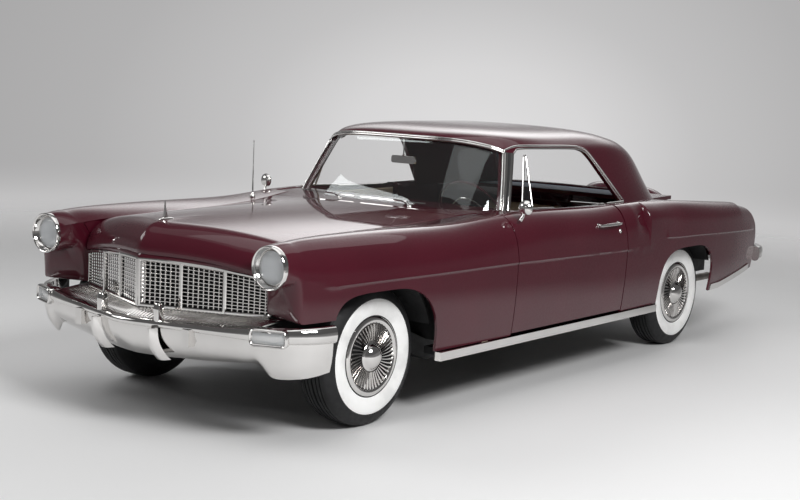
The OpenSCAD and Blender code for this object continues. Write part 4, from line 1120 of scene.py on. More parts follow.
def makeGrille():
    parts, low = [], grille["low"]
    for k in range(3):
        a, b = grille["posts"][k] + 0.006, grille["posts"][k + 1] - 0.006
        for i in range(1, grille["columns"]):
            u = mix(a, b, i / grille["columns"])
            parts.append(grilleBar([(u, low - 0.004), (u, grilleTop(u) + 0.004)], 0.0085, -0.005, -0.024))
        u = np.linspace(a - 0.002, b + 0.002, 9)
        for j in range(1, grille["rows"]):
            parts.append(grilleBar(np.column_stack([u, mix(low, grilleTop(u), j / grille["rows"])]), 0.0072,
                                   -0.003, -0.022))
    for u in grille["posts"][:3]:
        wide = 0.021 if u else 0.026
        parts.append(grilleBar([(u + 0.002 * (u == 0), low - 0.008), (u + 0.002 * (u == 0), grilleTop(u) + 0.008)],
                               wide, 0.010, -0.026))
    rim = grille["rim"]
    u = np.linspace(0.0, grille["length"] - rim, 24)
    top = np.column_stack([u, grilleTop(u) + rim / 2])
    foot = np.column_stack([np.linspace(0, grille["length"] - 0.03, 24), np.full(24, low - rim / 2)])
    loop = np.vstack([foot, roundedOutline([foot[-1], (grille["length"] - rim / 2, low - rim / 2),
                                            (grille["length"] - rim / 2, top[-1][1] - 0.004), top[-2]], 0.016)[8:-6],
                      top[::-1][1:]])
    parts.append(grilleBar(resampled(loop, 90), 0.017, 0.008, -0.028))
    return bothSides(parts)


makePiece("grilleBars", makeGrille(), "body", chrome, "chrome", fix=True, sharp=30)


def makeGrilleTray():
    # tray behind the bars, joined to the rim: near black, partly as its black paint and partly as painted shade for the
    # dark space behind the grille
    u = np.linspace(0, grille["length"] - 0.008, 12)
    front, back = -0.026, -0.075
    low, high = np.full(12, grille["low"] - 0.004), grilleTop(u) + 0.006
    rows = [np.column_stack([u, low, np.full(12, front)]), np.column_stack([u, low, np.full(12, back)]),
            np.column_stack([u, high, np.full(12, back)]), np.column_stack([u, high, np.full(12, front)])]
    outer = grillePlace(np.stack(rows))
    return bothSides([plateOf(outer, outer - 0.0015 * gridNormals(outer))])


makePiece("grilleTray", makeGrilleTray(), "body", shadeBlack, "underbody", fix=True)


def makeHeader():
    # painted strip that joins the grille's top to the hood's lip
    x = np.linspace(-0.627, 0.627, 121)
    u = np.abs(x) / swept[0]
    t = np.clip(x / 0.622, -1, 1)
    lip = hoodSurface(np.array([[0.0]]), t[None])[0, :, 2] - 0.006
    s = np.linspace(0, 1, 7)[:, None]
    grillY = grille["tip"] + np.abs(x) * math.tan(grille["sweep"]) - 0.002
    lipY = hoodFront(x) + 0.014
    z = mix(grilleTop(u) + 0.011, lip, s)
    y = mix(grillY, lipY, s) - 0.004 * np.sin(np.pi * s)
    outer = gridOf(x[None], y, z)
    return plateOf(outer, inner=outer + (0, 0.012, 0))


makePiece("hoodHeader", [makeHeader()], "body", paint, "paint", fix=True)

bumper = {
    "rearZ": 0.528,
    "frontPath": mm * np.array([[0, -2768], [150, -2742], [450, -2672], [700, -2616], [820, -2572], [910, -2490],
                                [958, -2400], [975, -2316]]),
    "rearPath": mm * np.array([[0, 2768], [400, 2758], [700, 2722], [850, 2660], [920, 2560], [938, 2460]]),
    "blade": mm * np.array([[50, -50], [32, -54], [18, -51], [8, -44], [3, -34], [1, -20], [0, -6], [0, 8],
                            [1, 20], [3, 32], [8, 43], [18, 50], [32, 54], [50, 50], [54, 40], [54, -40]]),
    "steps": 181,
}
lipTable = mm * np.array([[0, 500, 537], [300, 500, 538], [560, 499, 545], [700, 496, 556], [800, 493, 566],
                          [975, 490, 572]])
lipForm = np.array([(0.050, 0.0), (0.030, -0.02), (0.014, 0.03), (0.006, 0.12), (0.002, 0.25), (0.0, 0.42), (0.0, 0.56),
                    (0.002, 0.70), (0.006, 0.83), (0.013, 0.94), (0.022, 0.99), (0.034, 1.0), (0.052, 0.97),
                    (0.054, 0.88), (0.054, 0.10)])
apronTable = mm * np.array([
    [0, -2752, 345, 95], [160, -2727, 346, 95], [400, -2672, 356, 90], [600, -2629, 372, 80], [715, -2600, 388, 62],
    [748, -2592, 338, 66], [800, -2572, 318, 74], [870, -2520, 318, 66], [925, -2440, 326, 46], [950, -2370, 340, 30],
    [957, -2325, 352, 20]])


def wholePath(half):
    # a half path and its mirror image, as one
    flip = np.array([-1] + [1] * (half.shape[1] - 1))
    return np.vstack([(half * flip)[:0:-1], half])


def outwardOf(path, side):
    step = np.gradient(path[:, :2], axis=0)
    step /= np.linalg.norm(step, axis=1, keepdims=True)
    return np.stack([step[:, 1], -step[:, 0]], -1) * side


def makeBlade(half, z, side):
    path = curveThrough(wholePath(half), bumper["steps"])
    out = outwardOf(path, side)
    form = bumper["blade"]
    flat = path[:, None] - form[None, :, :1] * out[:, None]
    height = np.broadcast_to(z + form[None, :, 1], flat.shape[:2])
    return closedSweep(np.concatenate([flat, height[..., None]], -1))


def lipEdge(x):
    # heights of the front bumper's lower and upper edge, which part towards the pods and the ends
    low = np.interp(np.abs(x), lipTable[:, 0], lipTable[:, 1])
    return low, np.interp(np.abs(x), lipTable[:, 0], lipTable[:, 2])


def makeLip():
    # rolled lip of the front bumper: one rounded section stretched between its two edges
    path = curveThrough(wholePath(bumper["frontPath"]), bumper["steps"])
    out = outwardOf(path, 1)
    low, high = lipEdge(path[:, 0])
    form = lipForm
    flat = path[:, None] - form[None, :, :1] * out[:, None]
    height = mix(low[:, None], high[:, None], form[None, :, 1])
    return closedSweep(np.concatenate([flat, height[..., None]], -1))


def softened(table, count, width):
    # table of rows resampled evenly by plan distance, with its corners smoothed over a few samples
    run = np.concatenate([[0], np.cumsum(np.linalg.norm(np.diff(table[:, :2], axis=0), axis=1))])
    marks = np.linspace(0, run[-1], count)
    values = np.stack([np.interp(marks, run, table[:, k]) for k in range(table.shape[1])], -1)
    pad = np.vstack([2 * values[:1] - values[width:0:-1], values, 2 * values[-1:] - values[-2:-width - 2:-1]])
    kernel = np.hanning(2 * width + 3)[1:-1]
    kernel /= kernel.sum()
    return np.stack([np.convolve(pad[:, k], kernel, "valid") for k in range(values.shape[1])], -1)


def makeApron():
    rows = softened(wholePath(apronTable), 361, 9)
    out = outwardOf(rows, 1)
    s = np.linspace(0, 1, 18)
    outerIn = rows[:, 3:4] * s[None] ** 2.3
    z = mix(lipEdge(rows[:, 0])[0][:, None] + 0.004, rows[:, 2:3], s[None])
    flat = rows[:, None, :2] - outerIn[..., None] * out[:, None]
    outer = np.concatenate([flat, z[..., None]], -1)
    innerFlat = flat - 0.008 * out[:, None]
    inner = np.concatenate([innerFlat, z[..., None] + 0.002], -1)
    return plateOf(outer, inner=inner)


def upright(outline, stations):
    # an outline of (y, z) carried across the car, drawn in about its middle at each station
    centre = outline.mean(axis=0)
    return closedSweep(np.stack([np.column_stack([np.full(len(outline), x), centre + (outline - centre) * share])
                                 for x, share in stations]))


def makeGuards():
    # an upright that stands behind the lip, and below the lip a fin that widens down the apron
    outline = roundedOutline(mm * np.array([(-2722, 520), (-2724, 590), (-2716, 617), (-2690, 619), (-2678, 600),
                                            (-2676, 520)]), 0.009, 4)
    guard = upright(outline, ((0.180, 0.80), (0.183, 0.93), (0.189, 1.0), (0.207, 1.0), (0.213, 0.93), (0.216, 0.80)))
    s = np.linspace(0, 1, 14)
    z = mix(0.503, 0.344, s)
    half = mix(0.012, 0.026, s ** 1.6)
    front = -2.7635 + 0.085 * s ** 2.3 - 0.010 * s
    x, fin = 0.198, []
    for k in range(len(s)):
        ring = [(x - half[k] - 0.010, front[k] + 0.040), (x - half[k], front[k] + 0.010),
                (x - half[k] * 0.55, front[k]), (x + half[k] * 0.55, front[k]),
                (x + half[k], front[k] + 0.010), (x + half[k] + 0.010, front[k] + 0.040)]
        fin.append(np.column_stack([ring, np.full(6, z[k])]))
    return bothSides([guard, closedSweep(np.stack(fin))])


pod = {"at": (0.790, -2.590, 0.520), "turn": math.radians(20), "width": 0.192, "height": 0.088, "deep": 0.072}


def podPlace(p):
    c, s = math.cos(pod["turn"]), math.sin(pod["turn"])
    x, z, y = p[..., 0], p[..., 1], p[..., 2]
    return np.stack([pod["at"][0] + c * x - s * y, pod["at"][1] + s * x + c * y, pod["at"][2] + z], -1)


def makePods():
    def rect(inset):
        return roundedBox(pod["width"] - 2 * inset, pod["height"] - 2 * inset, max(0.030 - inset, 0.010))
    body = stacked([rect(0.004), rect(0), rect(0), rect(0.003), rect(0.008), rect(0.014), rect(0.017), rect(0.017)],
                   [pod["deep"], 0.045, 0.010, 0.001, -0.003, 0.001, 0.008, 0.018], podPlace)
    lens = stacked([rect(0.0172), rect(0.0172), rect(0.022), rect(0.030)], [0.014, 0.007, 0.003, 0.001], podPlace,
                   material=1)
    return bothSides([body, lens])


bracket = bothSides([boxOf((0.352, -2.70, 0.435), (0.398, -2.45, 0.515))])
makePiece("frontBumper", [makeLip(), makeApron()] + makeGuards() + makePods() + bracket, "body",
          [chrome, lampGlass], "chrome", ["front_bumper"], fix=True, sharp=38)


def makeShelf():
    # ribbed shelf from the grille's foot to the bumper's back
    x = np.linspace(0, 0.700, 241)
    s = np.linspace(0, 1, 9)[:, None]
    back = grille["tip"] + x * math.tan(grille["sweep"]) + 0.012
    path = curveThrough(wholePath(bumper["frontPath"]), 801)
    front = np.interp(x, path[:, 0], path[:, 1]) + 0.050
    rib = 0.0035 * np.sin(2 * np.pi * x / 0.0175) * np.clip(np.sin(np.pi * s), 0, 1) ** 0.5
    z = mix(0.571, lipEdge(x)[1] - 0.004, s ** 1.3) + rib
    y = mix(back, front, s)
    outer = gridOf(x[None], y, z)
    return bothSides([plateOf(outer, inner=outer - (0, 0, 0.006))])


makePiece("bumperShelf", makeShelf(), "body", chrome, "chrome", ["grille"], fix=True, sharp=60)
print("grille and front bumper made")


def makeRearBumper():
    parts = [makeBlade(bumper["rearPath"], bumper["rearZ"], -1)]
    side = mm * np.array([(2778, 400), (2786, 500), (2780, 590), (2762, 612), (2720, 600), (2712, 420)])
    outline = roundedOutline(side, 0.012, 4) - (0.012, 0)
    guard = upright(outline, ((0.395, 0.8), (0.399, 0.94), (0.406, 1), (0.434, 1), (0.441, 0.94), (0.445, 0.8)))
    guard["points"][:, 1] = np.minimum(guard["points"][:, 1], 2.7675)
    return parts + bothSides([guard, boxOf((0.442, 2.44, 0.432), (0.478, 2.735, 0.498))])


makePiece("rearBumper", makeRearBumper(), "body", chrome, "chrome", ["rear_bumper"], fix=True, sharp=38)
print("rear bumper made")

lampForm = {
    "back": -2.500, "bowlSkin": 0.0015, "lensSkin": 0.003,
    "bezel": [(97, 0), (99, 40), (103, 62), (103, 78), (101.5, 87), (98, 91), (94.5, 89), (92, 83), (85, 60), (81, 57),
              (80, 61), (77.5, 62), (76, 58), (76, 50), (90, 20), (90, 0)],
    "reflector": [(76.5, 54), (66, 36), (48, 20), (24, 12), (7, 10), (6, 26), (0, 27)],
    "lens": [(77, 60), (66, 68.5), (50, 74.5), (30, 78.5), (12, 80), (0, 80.2)],
}


def makeHeadlamps():
    centre = (lampPlace["x"], lampForm["back"], lampPlace["z"])
    edge, bowl, front = (mm * np.array(lampForm[k], float) for k in ("bezel", "reflector", "lens"))
    bezel = lathe(np.vstack([edge, edge[:1]]), centre, (0, -1, 0))
    # the bowl's finish is partly diffuse pale white: painted reflection over a silver finish
    reflector = lathe(np.vstack([bowl, bowl[::-1] - (0, lampForm["bowlSkin"])]), centre, (0, -1, 0), 72, 1)
    lens = lathe(np.vstack([front[::-1], front - (0, lampForm["lensSkin"])]), centre, (0, -1, 0), 72, 2)
    return bothSides([bezel, reflector, lens])


makePiece("headlamps", makeHeadlamps(), "body", [chrome, silverSheen, lampGlass], "chrome", ["headlamps"], fix=True,
          sharp=50)
print("headlamps made")

wheelForm = {
    "z": 0.350, "front": (0.743, -1.883), "rear": (0.762, 1.317), "vanes": 44, "vaneInner": 0.078, "vaneOuter": 0.163,
    "rim": [(120, 20), (165, -20), (165, -80), (168, -84), (191, -84), (194, -78), (191, -70), (186, -60), (186, 60),
            (190, 72), (191, 78), (196, 80), (199, 86), (197, 93), (190, 98), (180, 100), (172, 98), (166, 93),
            (163, 84), (76, 84), (75, 92), (70, 97), (64, 99), (60, 104), (56, 110), (46, 119), (34, 126), (18, 130),
            (0, 131), (0, 60), (120, 30)],
}
tyreForm = mm * np.array([
    [186, 72], [192, 84], [204, 92], [222, 98], [240, 101.5], [256, 102.5], [272, 101.5], [286, 99.5], [288, 97.8],
    [290, 99.0], [300, 97], [312, 92], [322, 87.5], [332, 81], [339, 76], [343, 72], [345.5, 66], [347.5, 58]])
treadForm = mm * np.array([[348.3, 52], [348.5, 50.5], [341, 49.5], [341, 44.5], [348.8, 43.5], [349.4, 32],
                           [349.5, 29], [341, 28], [341, 23], [349.6, 22], [349.9, 10], [350, 6], [341, 5], [341, 0]])


def wheelAxis(place, side):
    return (place[0] * side, place[1], wheelForm["z"]), (side, 0, 0)


def makeCover(place, side):
    centre, axis = wheelAxis(place, side)
    rim = lathe(mm * np.array(wheelForm["rim"], float), centre, axis, 96)
    # each vane is a slanted blade, high on its leading edge, thinner towards the middle
    count = wheelForm["vanes"]
    r = np.linspace(wheelForm["vaneInner"], wheelForm["vaneOuter"], 6)
    pitch = 2 * math.pi / count
    vane = []
    for share, lift in ((-0.34, 0.0865), (-0.20, 0.0955), (0.10, 0.0975), (0.26, 0.0900)):
        angle = share * pitch + 0.10 * (r - r[0]) / (r[-1] - r[0])
        rise = lift - 0.0010 * np.cos((r - r[0]) / (r[-1] - r[0]) * math.pi)
        vane.append(np.stack([rise, r * np.cos(angle), r * np.sin(angle)], -1))
    blade = plateOf(np.stack(vane), inner=np.stack(vane) * (0, 1, 1) + (0.0835, 0, 0))
    turns = np.arange(count) * pitch
    c, s = np.cos(turns)[:, None], np.sin(turns)[:, None]
    p = blade["points"][None]
    y, z = c * p[..., 1] - s * p[..., 2], s * p[..., 1] + c * p[..., 2]
    points = np.stack([np.broadcast_to(p[..., 0], y.shape), y, z], -1)
    points = points * (side, 1, 1) + centre
    size = blade["points"].shape[0]
    faces = (np.array(blade["faces"])[None] + (np.arange(count) * size)[:, None, None]).reshape(-1, 4)
    vanes = {"points": points.reshape(-1, 3), "faces": faces, "material": 0}
    # the floor under the vanes is near black: painted shade for the recess between them
    shadedRecess = lathe(mm * np.array([[163.5, 85.0], [76, 85.0], [76, 84.4], [163.5, 84.4]]), centre, axis, 96,
                      material=1)
    return [rim, vanes, shadedRecess]


def makeTyre(place, side):
    centre, axis = wheelAxis(place, side)
    outer = np.vstack([tyreForm, treadForm])
    inner = (outer * (1, -1))[::-1]
    profile = np.vstack([outer, inner, [[0.186, -0.072]], [[0.186, 0.072]]])
    part = lathe(profile, centre, axis, 120)
    middle = part["points"][part["faces"]].mean(axis=1)
    r = np.hypot(middle[:, 1] - centre[1], middle[:, 2] - centre[2])
    out = (middle[:, 0] - centre[0]) * side
    white = (out > 0.06) & (r > 0.206) & (r < 0.2865)
    black = {**part, "faces": part["faces"][~white]}
    pale = {**part, "faces": part["faces"][white], "material": 1}
    return [black, pale]


for label, place, side in (("FrontLeft", wheelForm["front"], 1), ("FrontRight", wheelForm["front"], -1),
                           ("RearLeft", wheelForm["rear"], 1), ("RearRight", wheelForm["rear"], -1)):
    ends = label[:-4] if label.endswith("Left") else label[:-5]
    where = ends.lower() + ("_left" if side > 0 else "_right")
    makePiece("wheel" + label, makeCover(place, side), "wheel_" + where, [chrome, shadeBlack], "wheel_cover",
              ["wheel_" + where], fix=True, sharp=30)
    makePiece("tyre" + label, makeTyre(place, side), "wheel_" + where, [rubber, whitewall], "tyre",
              ["tyre_" + where], fix=True, sharp=35)
print("wheels and tyres made")


def greenField(p):
    # 1 on the greenhouse, less inside it: (|x| / half)^power + (|y - middle| / reach)^power
    half, front, rear = greenAt(p[..., 2])
    forward = p[..., 1] < green["middle"]
    reach = np.where(forward, green["middle"] - front, rear - green["middle"])
    power = np.where(forward, green["frontPower"], green["rearPower"])
    return (np.abs(p[..., 0]) / half) ** power + (np.abs(p[..., 1] - green["middle"]) / reach) ** power


def greenNormal(p, step=0.002):
    n = np.stack([greenField(p + e) - greenField(p - e) for e in np.eye(3) * step], -1)
    return n / np.linalg.norm(n, axis=-1, keepdims=True)


def domed(wide, high, count=9):
    # section of a moulding as (out, across): flat foot under a rounded face
    a = np.linspace(-np.pi / 2, np.pi / 2, count)
    arch = np.column_stack([high * np.cos(a) ** 0.7, wide / 2 * np.sin(a)])
    return np.vstack([arch, [(-0.003, wide / 2), (-0.003, -wide / 2)]])


def paired(wide, high, groove):
    # section of a double moulding: two rounded ridges with a groove between them
    half = domed(wide / 2, high)[:-2]
    low, upper = half - (0, wide / 4), half + (0, wide / 4)
    low[-1], upper[0] = (high * groove, -0.0006), (high * groove, 0.0006)
    return np.vstack([low, upper, [(-0.003, wide / 2), (-0.003, -wide / 2)]])


def onGreen(line):
    line = np.asarray(line, float)
    return np.column_stack([greenX(line[:, 0], line[:, 1]), line])


def sideLine(corners, count=90):
    return resampled(onGreen(resampled(roundedPath(mm * np.array(corners, float)), 600)), count)


def roundedPath(corners, share=0.3, steps=6):
    # open path whose corners are eased by quadratic curves between points on their two sides
    path = [corners[:1]]
    f = np.linspace(0, 1, steps)[:, None]
    for a, b, c in zip(corners[:-2], corners[1:-1], corners[2:]):
        s, e = b + share * (a - b), b + share * (c - b)
        path.append((1 - f) ** 2 * s + 2 * f * (1 - f) * b + f ** 2 * e)
    return np.vstack(path + [corners[-1:]])


def overHeader():
    # edge of the windshield from the foot of the +X pillar over the header to the foot of the other
    line = resampled(mm * np.array([(-645, 990), (-500, 1306)]), 300)
    head = resampled(roundedPath(mm * np.array([(-500, 1306), (-530, 1322), (-600, 1348), (-644, 1362.6)])), 1500)
    half = onGreen(np.vstack([line, head[1:]]))
    half = half[half[:, 0] > 0.001]
    return resampled(np.vstack([half, (half * (-1, 1, 1))[::-1]]), 190)


trim = {"surround": (0.026, 0.008, 0.15), "rail": (0.013, 0.010), "daylight": (0.009, 0.004), "ring": (0.020, 0.007),
        "belt": (0.015, 0.009), "beltX": 0.813, "pillarLift": 0.004}


def makePillars():
    # two bright strips with a dark one between them, laid over the pillar beside the windshield
    front = onGreen(resampled(mm * np.array([(-640, 988), (-497, 1304)]), 24))
    rear = onGreen(resampled(mm * np.array([(-592, 988), (-444, 1299)]), 24))
    parts = []
    for low, high, material in ((0.0, 0.36, 0), (0.38, 0.62, 1), (0.64, 1.0, 0)):
        s = np.linspace(low, high, 6)[None, :, None]
        grid = front[:, None] * (1 - s) + rear[:, None] * s
        out = greenNormal(grid)
        swell = np.sin(np.linspace(0, np.pi, 6))[None, :, None] * (0.002 if material == 0 else -0.0005)
        grid = grid + out * (trim["pillarLift"] + swell)
        parts.append(plateOf(grid, inner=grid - out * 0.006, material=material))
    return bothSides(parts)


def makeSurround():
    path = overHeader()
    out = greenNormal(path)
    return carried(path + out * 0.001, paired(*trim["surround"]), out)


def makeRoofTrim():
    rail = sideLine([(-505, 1312), (-440, 1332), (-380, 1340), (180, 1331), (285, 1310), (352, 1252), (618, 992)], 130)
    light = sideLine([(-443, 1299), (-402, 1329), (180, 1319), (274, 1299), (334, 1252), (600, 986)], 110)
    parts = bothSides([carried(rail, domed(*trim["rail"]), greenNormal(rail)),
                       carried(light, domed(*trim["daylight"]), greenNormal(light))])
    ring = resampled(roundedOutline(rearWindow, 0.06), 150, closed=True)
    ring = np.column_stack([ring[:, 0], greenY(ring[:, 0], ring[:, 1]), ring[:, 1]])
    return parts + [carried(ring, domed(*trim["ring"]), greenNormal(ring), closed=True)]


makePiece("pillarPlates", makePillars(), "body", [chrome, seal], "chrome", fix=True)
makePiece("windshieldSurround", [makeSurround()], "body", chrome, "chrome", fix=True)
makePiece("roofTrim", makeRoofTrim(), "body", chrome, "chrome", fix=True)


def surfaceOf(part):
    return BVHTree.FromPolygons(part["points"].tolist(), [list(map(int, f)) for f in part["faces"]])


def dropped(tree, x, y):
    # highest point of a part under a place, looked for from 3 to 30 mm further out where there is none
    found = []
    for px, py in zip(x, y):
        hits = [tree.ray_cast(Vector((px + 0.003 * k, py, 1.3)), Vector((0, 0, -1)))[0] for k in range(11)]
        found.append([h for h in hits if h is not None][0])
    return np.array(found)


doorTree, quarterTree = surfaceOf(doorPart), surfaceOf(quarterPart)
ventLean = math.radians(17)
ventOut = np.array([math.cos(ventLean), 0, math.sin(ventLean)])
ventUp = np.array([-math.sin(ventLean), 0, math.cos(ventLean)])


def ventPlace(p):
    # (rearward, height) on the leaning plane of the vent window to the world
    p = np.asarray(p, float)
    return np.array([0.812, 0, 0.996]) + p[..., :1] * (0, 1, 0) + p[..., 1:2] * ventUp


def beltLine(tree, low, high, count):
    y = np.linspace(low, high, count)
    return dropped(tree, np.full(count, trim["beltX"]), y)


doorForm = {"handleZ": 0.884, "feetY": (0.068, 0.300), "lock": (0.305, 0.838), "mirror": (0.955, -0.750, 1.030)}


def onDoor(y, z):
    # point of the door's outer side at a place, found from the left
    return doorTree.ray_cast(Vector((1.3, y, z)), Vector((-1, 0, 0)))[0]


def makeDoorTrim():
    frameLine = roundedOutline(mm * np.array([(-551, 6), (-419, 310), (-404, 310), (-446, 6)]),
                               [0.012, 0.006, 0.006, 0.010])
    ring = ventPlace(resampled(frameLine, 90, closed=True))
    bar = np.array([(-0.004, -0.005), (0.003, -0.005), (0.005, -0.003), (0.005, 0.003), (0.003, 0.005),
                    (-0.004, 0.005)])
    outline = ventPlace(frameLine)
    parts = [carried(ring, bar, ventOut, closed=True),
             closedSweep(np.stack([outline - 0.0015 * ventOut, outline + 0.0015 * ventOut]), 1)]
    # pull bar between two feet that stand on the door's side
    z = doorForm["handleZ"]
    for y in doorForm["feetY"]:
        parts.append(lathe([(0.013, -0.003), (0.013, 0.002), (0.009, 0.005), (0.007, 0.018), (0, 0.020)],
                           (onDoor(y, z)[0], y, z), (1, 0, 0), 20))
    grip = curveThrough([(0.972, 0.052, z), (0.980, 0.09, z + 0.001), (0.984, 0.18, z + 0.002),
                         (0.980, 0.275, z + 0.001), (0.972, 0.315, z)], 30)
    parts.append(carried(grip, roundedBox(0.008, 0.018, 0.0035, 4), (1, 0, 0),
                         size=np.sin(np.linspace(0.5, np.pi - 0.5, 30)) ** 0.4))
    parts.append(lathe([(0.013, -0.002), (0.013, 0.003), (0.010, 0.006), (0.0045, 0.006), (0.004, 0.003), (0, 0.003)],
                       onDoor(*doorForm["lock"]), (1, 0, 0.2), 28))
    # round mirror on a leaning stem
    parts.append(tube(curveThrough([(0.940, -0.768, 0.962), (0.950, -0.760, 0.985), (0.956, -0.752, 1.02)], 10),
                      np.linspace(0.010, 0.006, 10), 14))
    parts.append(lathe([(0, -0.022), (0.012, -0.021), (0.026, -0.016), (0.037, -0.006), (0.042, 0.004), (0.042, 0.009),
                        (0.0395, 0.0095), (0.0385, 0.006), (0, 0.0065)], doorForm["mirror"], (-0.10, 1, 0), 48))
    parts.append(carried(beltLine(doorTree, -0.575, 0.352, 60), domed(*trim["belt"]), (0.45, 0, 1)))
    return parts


makePair("doorTrim", makeDoorTrim(), "door", [chrome, glass], "chrome", "door_trim")
makePiece("quarterBelt", bothSides([carried(beltLine(quarterTree, 0.390, 0.600, 20), domed(*trim["belt"]),
                                            (0.45, 0, 1))]), "body", chrome, "chrome", fix=True)
print("trim made")


def makeWipers():
    parts = []
    for low, high, root in ((-0.60, -0.14, -0.20), (-0.09, 0.37, 0.30)):
        x = np.linspace(low, high, 24)
        blade = np.column_stack([x, greenY(x, np.full(24, 1.006), False) - 0.009, np.full(24, 1.008)])
        parts.append(carried(blade, [(-0.004, -0.0015), (0.004, -0.003), (0.004, 0.003), (-0.004, 0.0015)],
                             (0, -1, 0.3)))
        foot = np.array([root, greenY(root, 1.0, False) - 0.055, 0.984])
        arm = curveThrough([foot, foot + (-0.03, 0.012, 0.016), blade[12] + (0, -0.006, 0.004)], 20)
        parts.append(tube(arm, np.linspace(0.0055, 0.0035, 20), 10))
        parts.append(lathe([(0.016, -0.012), (0.016, 0.002), (0.012, 0.010), (0.006, 0.014), (0, 0.015)], foot,
                           (0, -0.2, 1), 28))
    return parts


def makeOrnament():
    # plain upright blade on a long low foot
    rows = []
    for s in np.linspace(0, 1, 18):
        half = 0.0035 * (1 - s) ** 0.6 + 0.0006
        front, rear = -0.004 - 0.010 * (1 - s) ** 1.6, 0.004 + 0.020 * (1 - s) ** 1.6
        ring = [(0, front), (half, 0.4 * front), (half, 0.4 * rear), (0, rear), (-half, 0.4 * rear),
                (-half, 0.4 * front)]
        rows.append([(x, -2.488 + y, 0.978 + 0.092 * s) for x, y in ring])
    turn = np.linspace(0, np.pi, 13)
    spine = np.column_stack([np.zeros(13), -2.478 - 0.05 * np.cos(turn), np.full(13, 0.980)])
    return [closedSweep(np.array(rows)), tube(spine, 0.001 + 0.008 * np.sin(turn), 16)]


tailLamp = {"at": (0.810, 2.450, 0.700), "radius": 0.030, "foot": 0.028, "bulge": 0.012,
            "rings": (0.009, 0.016, 0.023)}


def makeTailLamps():
    # chrome ring around a domed lens with three raised rings
    def turnedPart(profile, material=0):
        return lathe(profile, tailLamp["at"], (0, 1, 0), 56, material)

    def domeAt(r):
        return tailLamp["foot"] + tailLamp["bulge"] * math.sqrt(max(1 - (r / tailLamp["radius"]) ** 2, 0))
    a = np.pi / 2 * np.linspace(0, 1, 12)
    dome = np.column_stack([tailLamp["radius"] * np.cos(a), tailLamp["foot"] + tailLamp["bulge"] * np.sin(a)])
    return bothSides([
        turnedPart([(0.030, 0.036), (0.036, 0.040), (0.042, 0.034), (0.042, 0.0), (0.028, 0.0), (0.028, 0.030)]),
        turnedPart(dome.tolist(), 1)] + [
        turnedPart([(r + 0.0012, domeAt(r) - 0.001), (r, domeAt(r) + 0.0015), (r - 0.0012, domeAt(r) - 0.001)], 1)
        for r in tailLamp["rings"]])


def makeInsideMirror():
    head = roundedOutline([(-0.090, 1.200), (0.090, 1.200), (0.086, 1.245), (-0.086, 1.245)], 0.014, 5)
    shell = prism(head, -0.605, -0.592, (0, 2, 1))
    # the mirror's face takes the silver finish whose pale diffuse share is painted reflection
    face = prism(roundedOutline([(-0.086, 1.204), (0.086, 1.204), (0.082, 1.241), (-0.082, 1.241)], 0.011, 5),
                 -0.592, -0.5905, (0, 2, 1), 1)
    stem = tube([(0, -0.601, 1.236), (0, -0.600, 1.28), (0, -0.602, 1.346)], [0.005, 0.004, 0.006], 14)
    knob = lathe([(0, -0.004), (0.009, 0.0), (0.010, 0.006), (0, 0.012)], (0, -0.600, 1.243), (0, 0, 1), 24)
    return [shell, face, stem, knob]


mast = [(0.0, 0.0), (0.017, 0.0), (0.017, 0.004), (0.009, 0.016), (0.0045, 0.028), (0.0034, 0.16), (0.0026, 0.161),
        (0.0020, 0.321), (0.0036, 0.323), (0.0036, 0.328), (0, 0.331)]
makePiece("wipers", makeWipers(), "body", chrome, "chrome", fix=True)
makePiece("hoodBlade", makeOrnament(), "hood", chrome, "chrome", fix=True)
makePiece("tailLamps", makeTailLamps(), "body", [chrome, redLens], "red_lens", ["tail_lamps"])
makePiece("insideMirror", makeInsideMirror(), "body", [chrome, silverSheen], "chrome", ["interior_mirror"],
          fix=True, bevel=0.002)
makePiece("antennaMast", [lathe(mast, (-0.700, -1.135, 0.9685), (0, 0, 1), 20)], "body", chrome, "chrome",
          ["antenna"])

coats = {
    "frame": underbody, "cross_members": underbody, "floor_pan": underbody, "wheel_housings": underbody,
    "front_suspension": underbody, "rear_axle": underbody, "knuckle_left": underbody, "knuckle_right": underbody,
    "engine": enginePaint, "radiator": coolerPaint, "exhaust": exhaustMetal, "fuel_tank": tankMetal,
    "sill_mouldings": chrome, "rear_shelf": paint,
}
for name, coat in coats.items():
    for place in nodes[name].material_slots:
        place.material = coat
print("small parts made")


seat = {"seed": 5, "voxel": 0.012, "pressure": 4.0, "frames": 18, "cap": 0.024, "crown": 0.012, "seam": 0.006}


def blockOf(outline, half, radius, rows=30):
    # bench cushion: a side outline of (y, z) carried across the car, smaller and rounder towards its two ends
    ring = resampled(roundedOutline(mm * np.array(outline, float), radius, 8), 64, closed=True)
    middle = (ring.min(0) + ring.max(0)) / 2
    reach = np.sin(np.linspace(-np.pi / 2, np.pi / 2, rows))
    grid = []
    for s in reach:
        shrink = 1 - 0.050 / (ring.max(0) - middle) * (1 - np.sqrt(max(1 - abs(s) ** 14, 0)))
        flat = middle + (ring - middle) * shrink
        grid.append(np.column_stack([np.full(len(flat), s * half), flat]))
    return closedSweep(np.array(grid))


def remeshed(piece, size):
    step = piece.modifiers.new("even", "REMESH")
    step.mode, step.voxel_size, step.use_smooth_shade = "VOXEL", size, True
    applyModifiers(piece)


def crownOf(points, lines, across):
    # rises between the seam lines and sinks on them: 1 halfway between two lines and 0 on a line
    gap = np.abs(points[:, None, across] - np.asarray(lines)[None]).min(1)
    return np.minimum(gap / 0.05, 1) ** 0.5


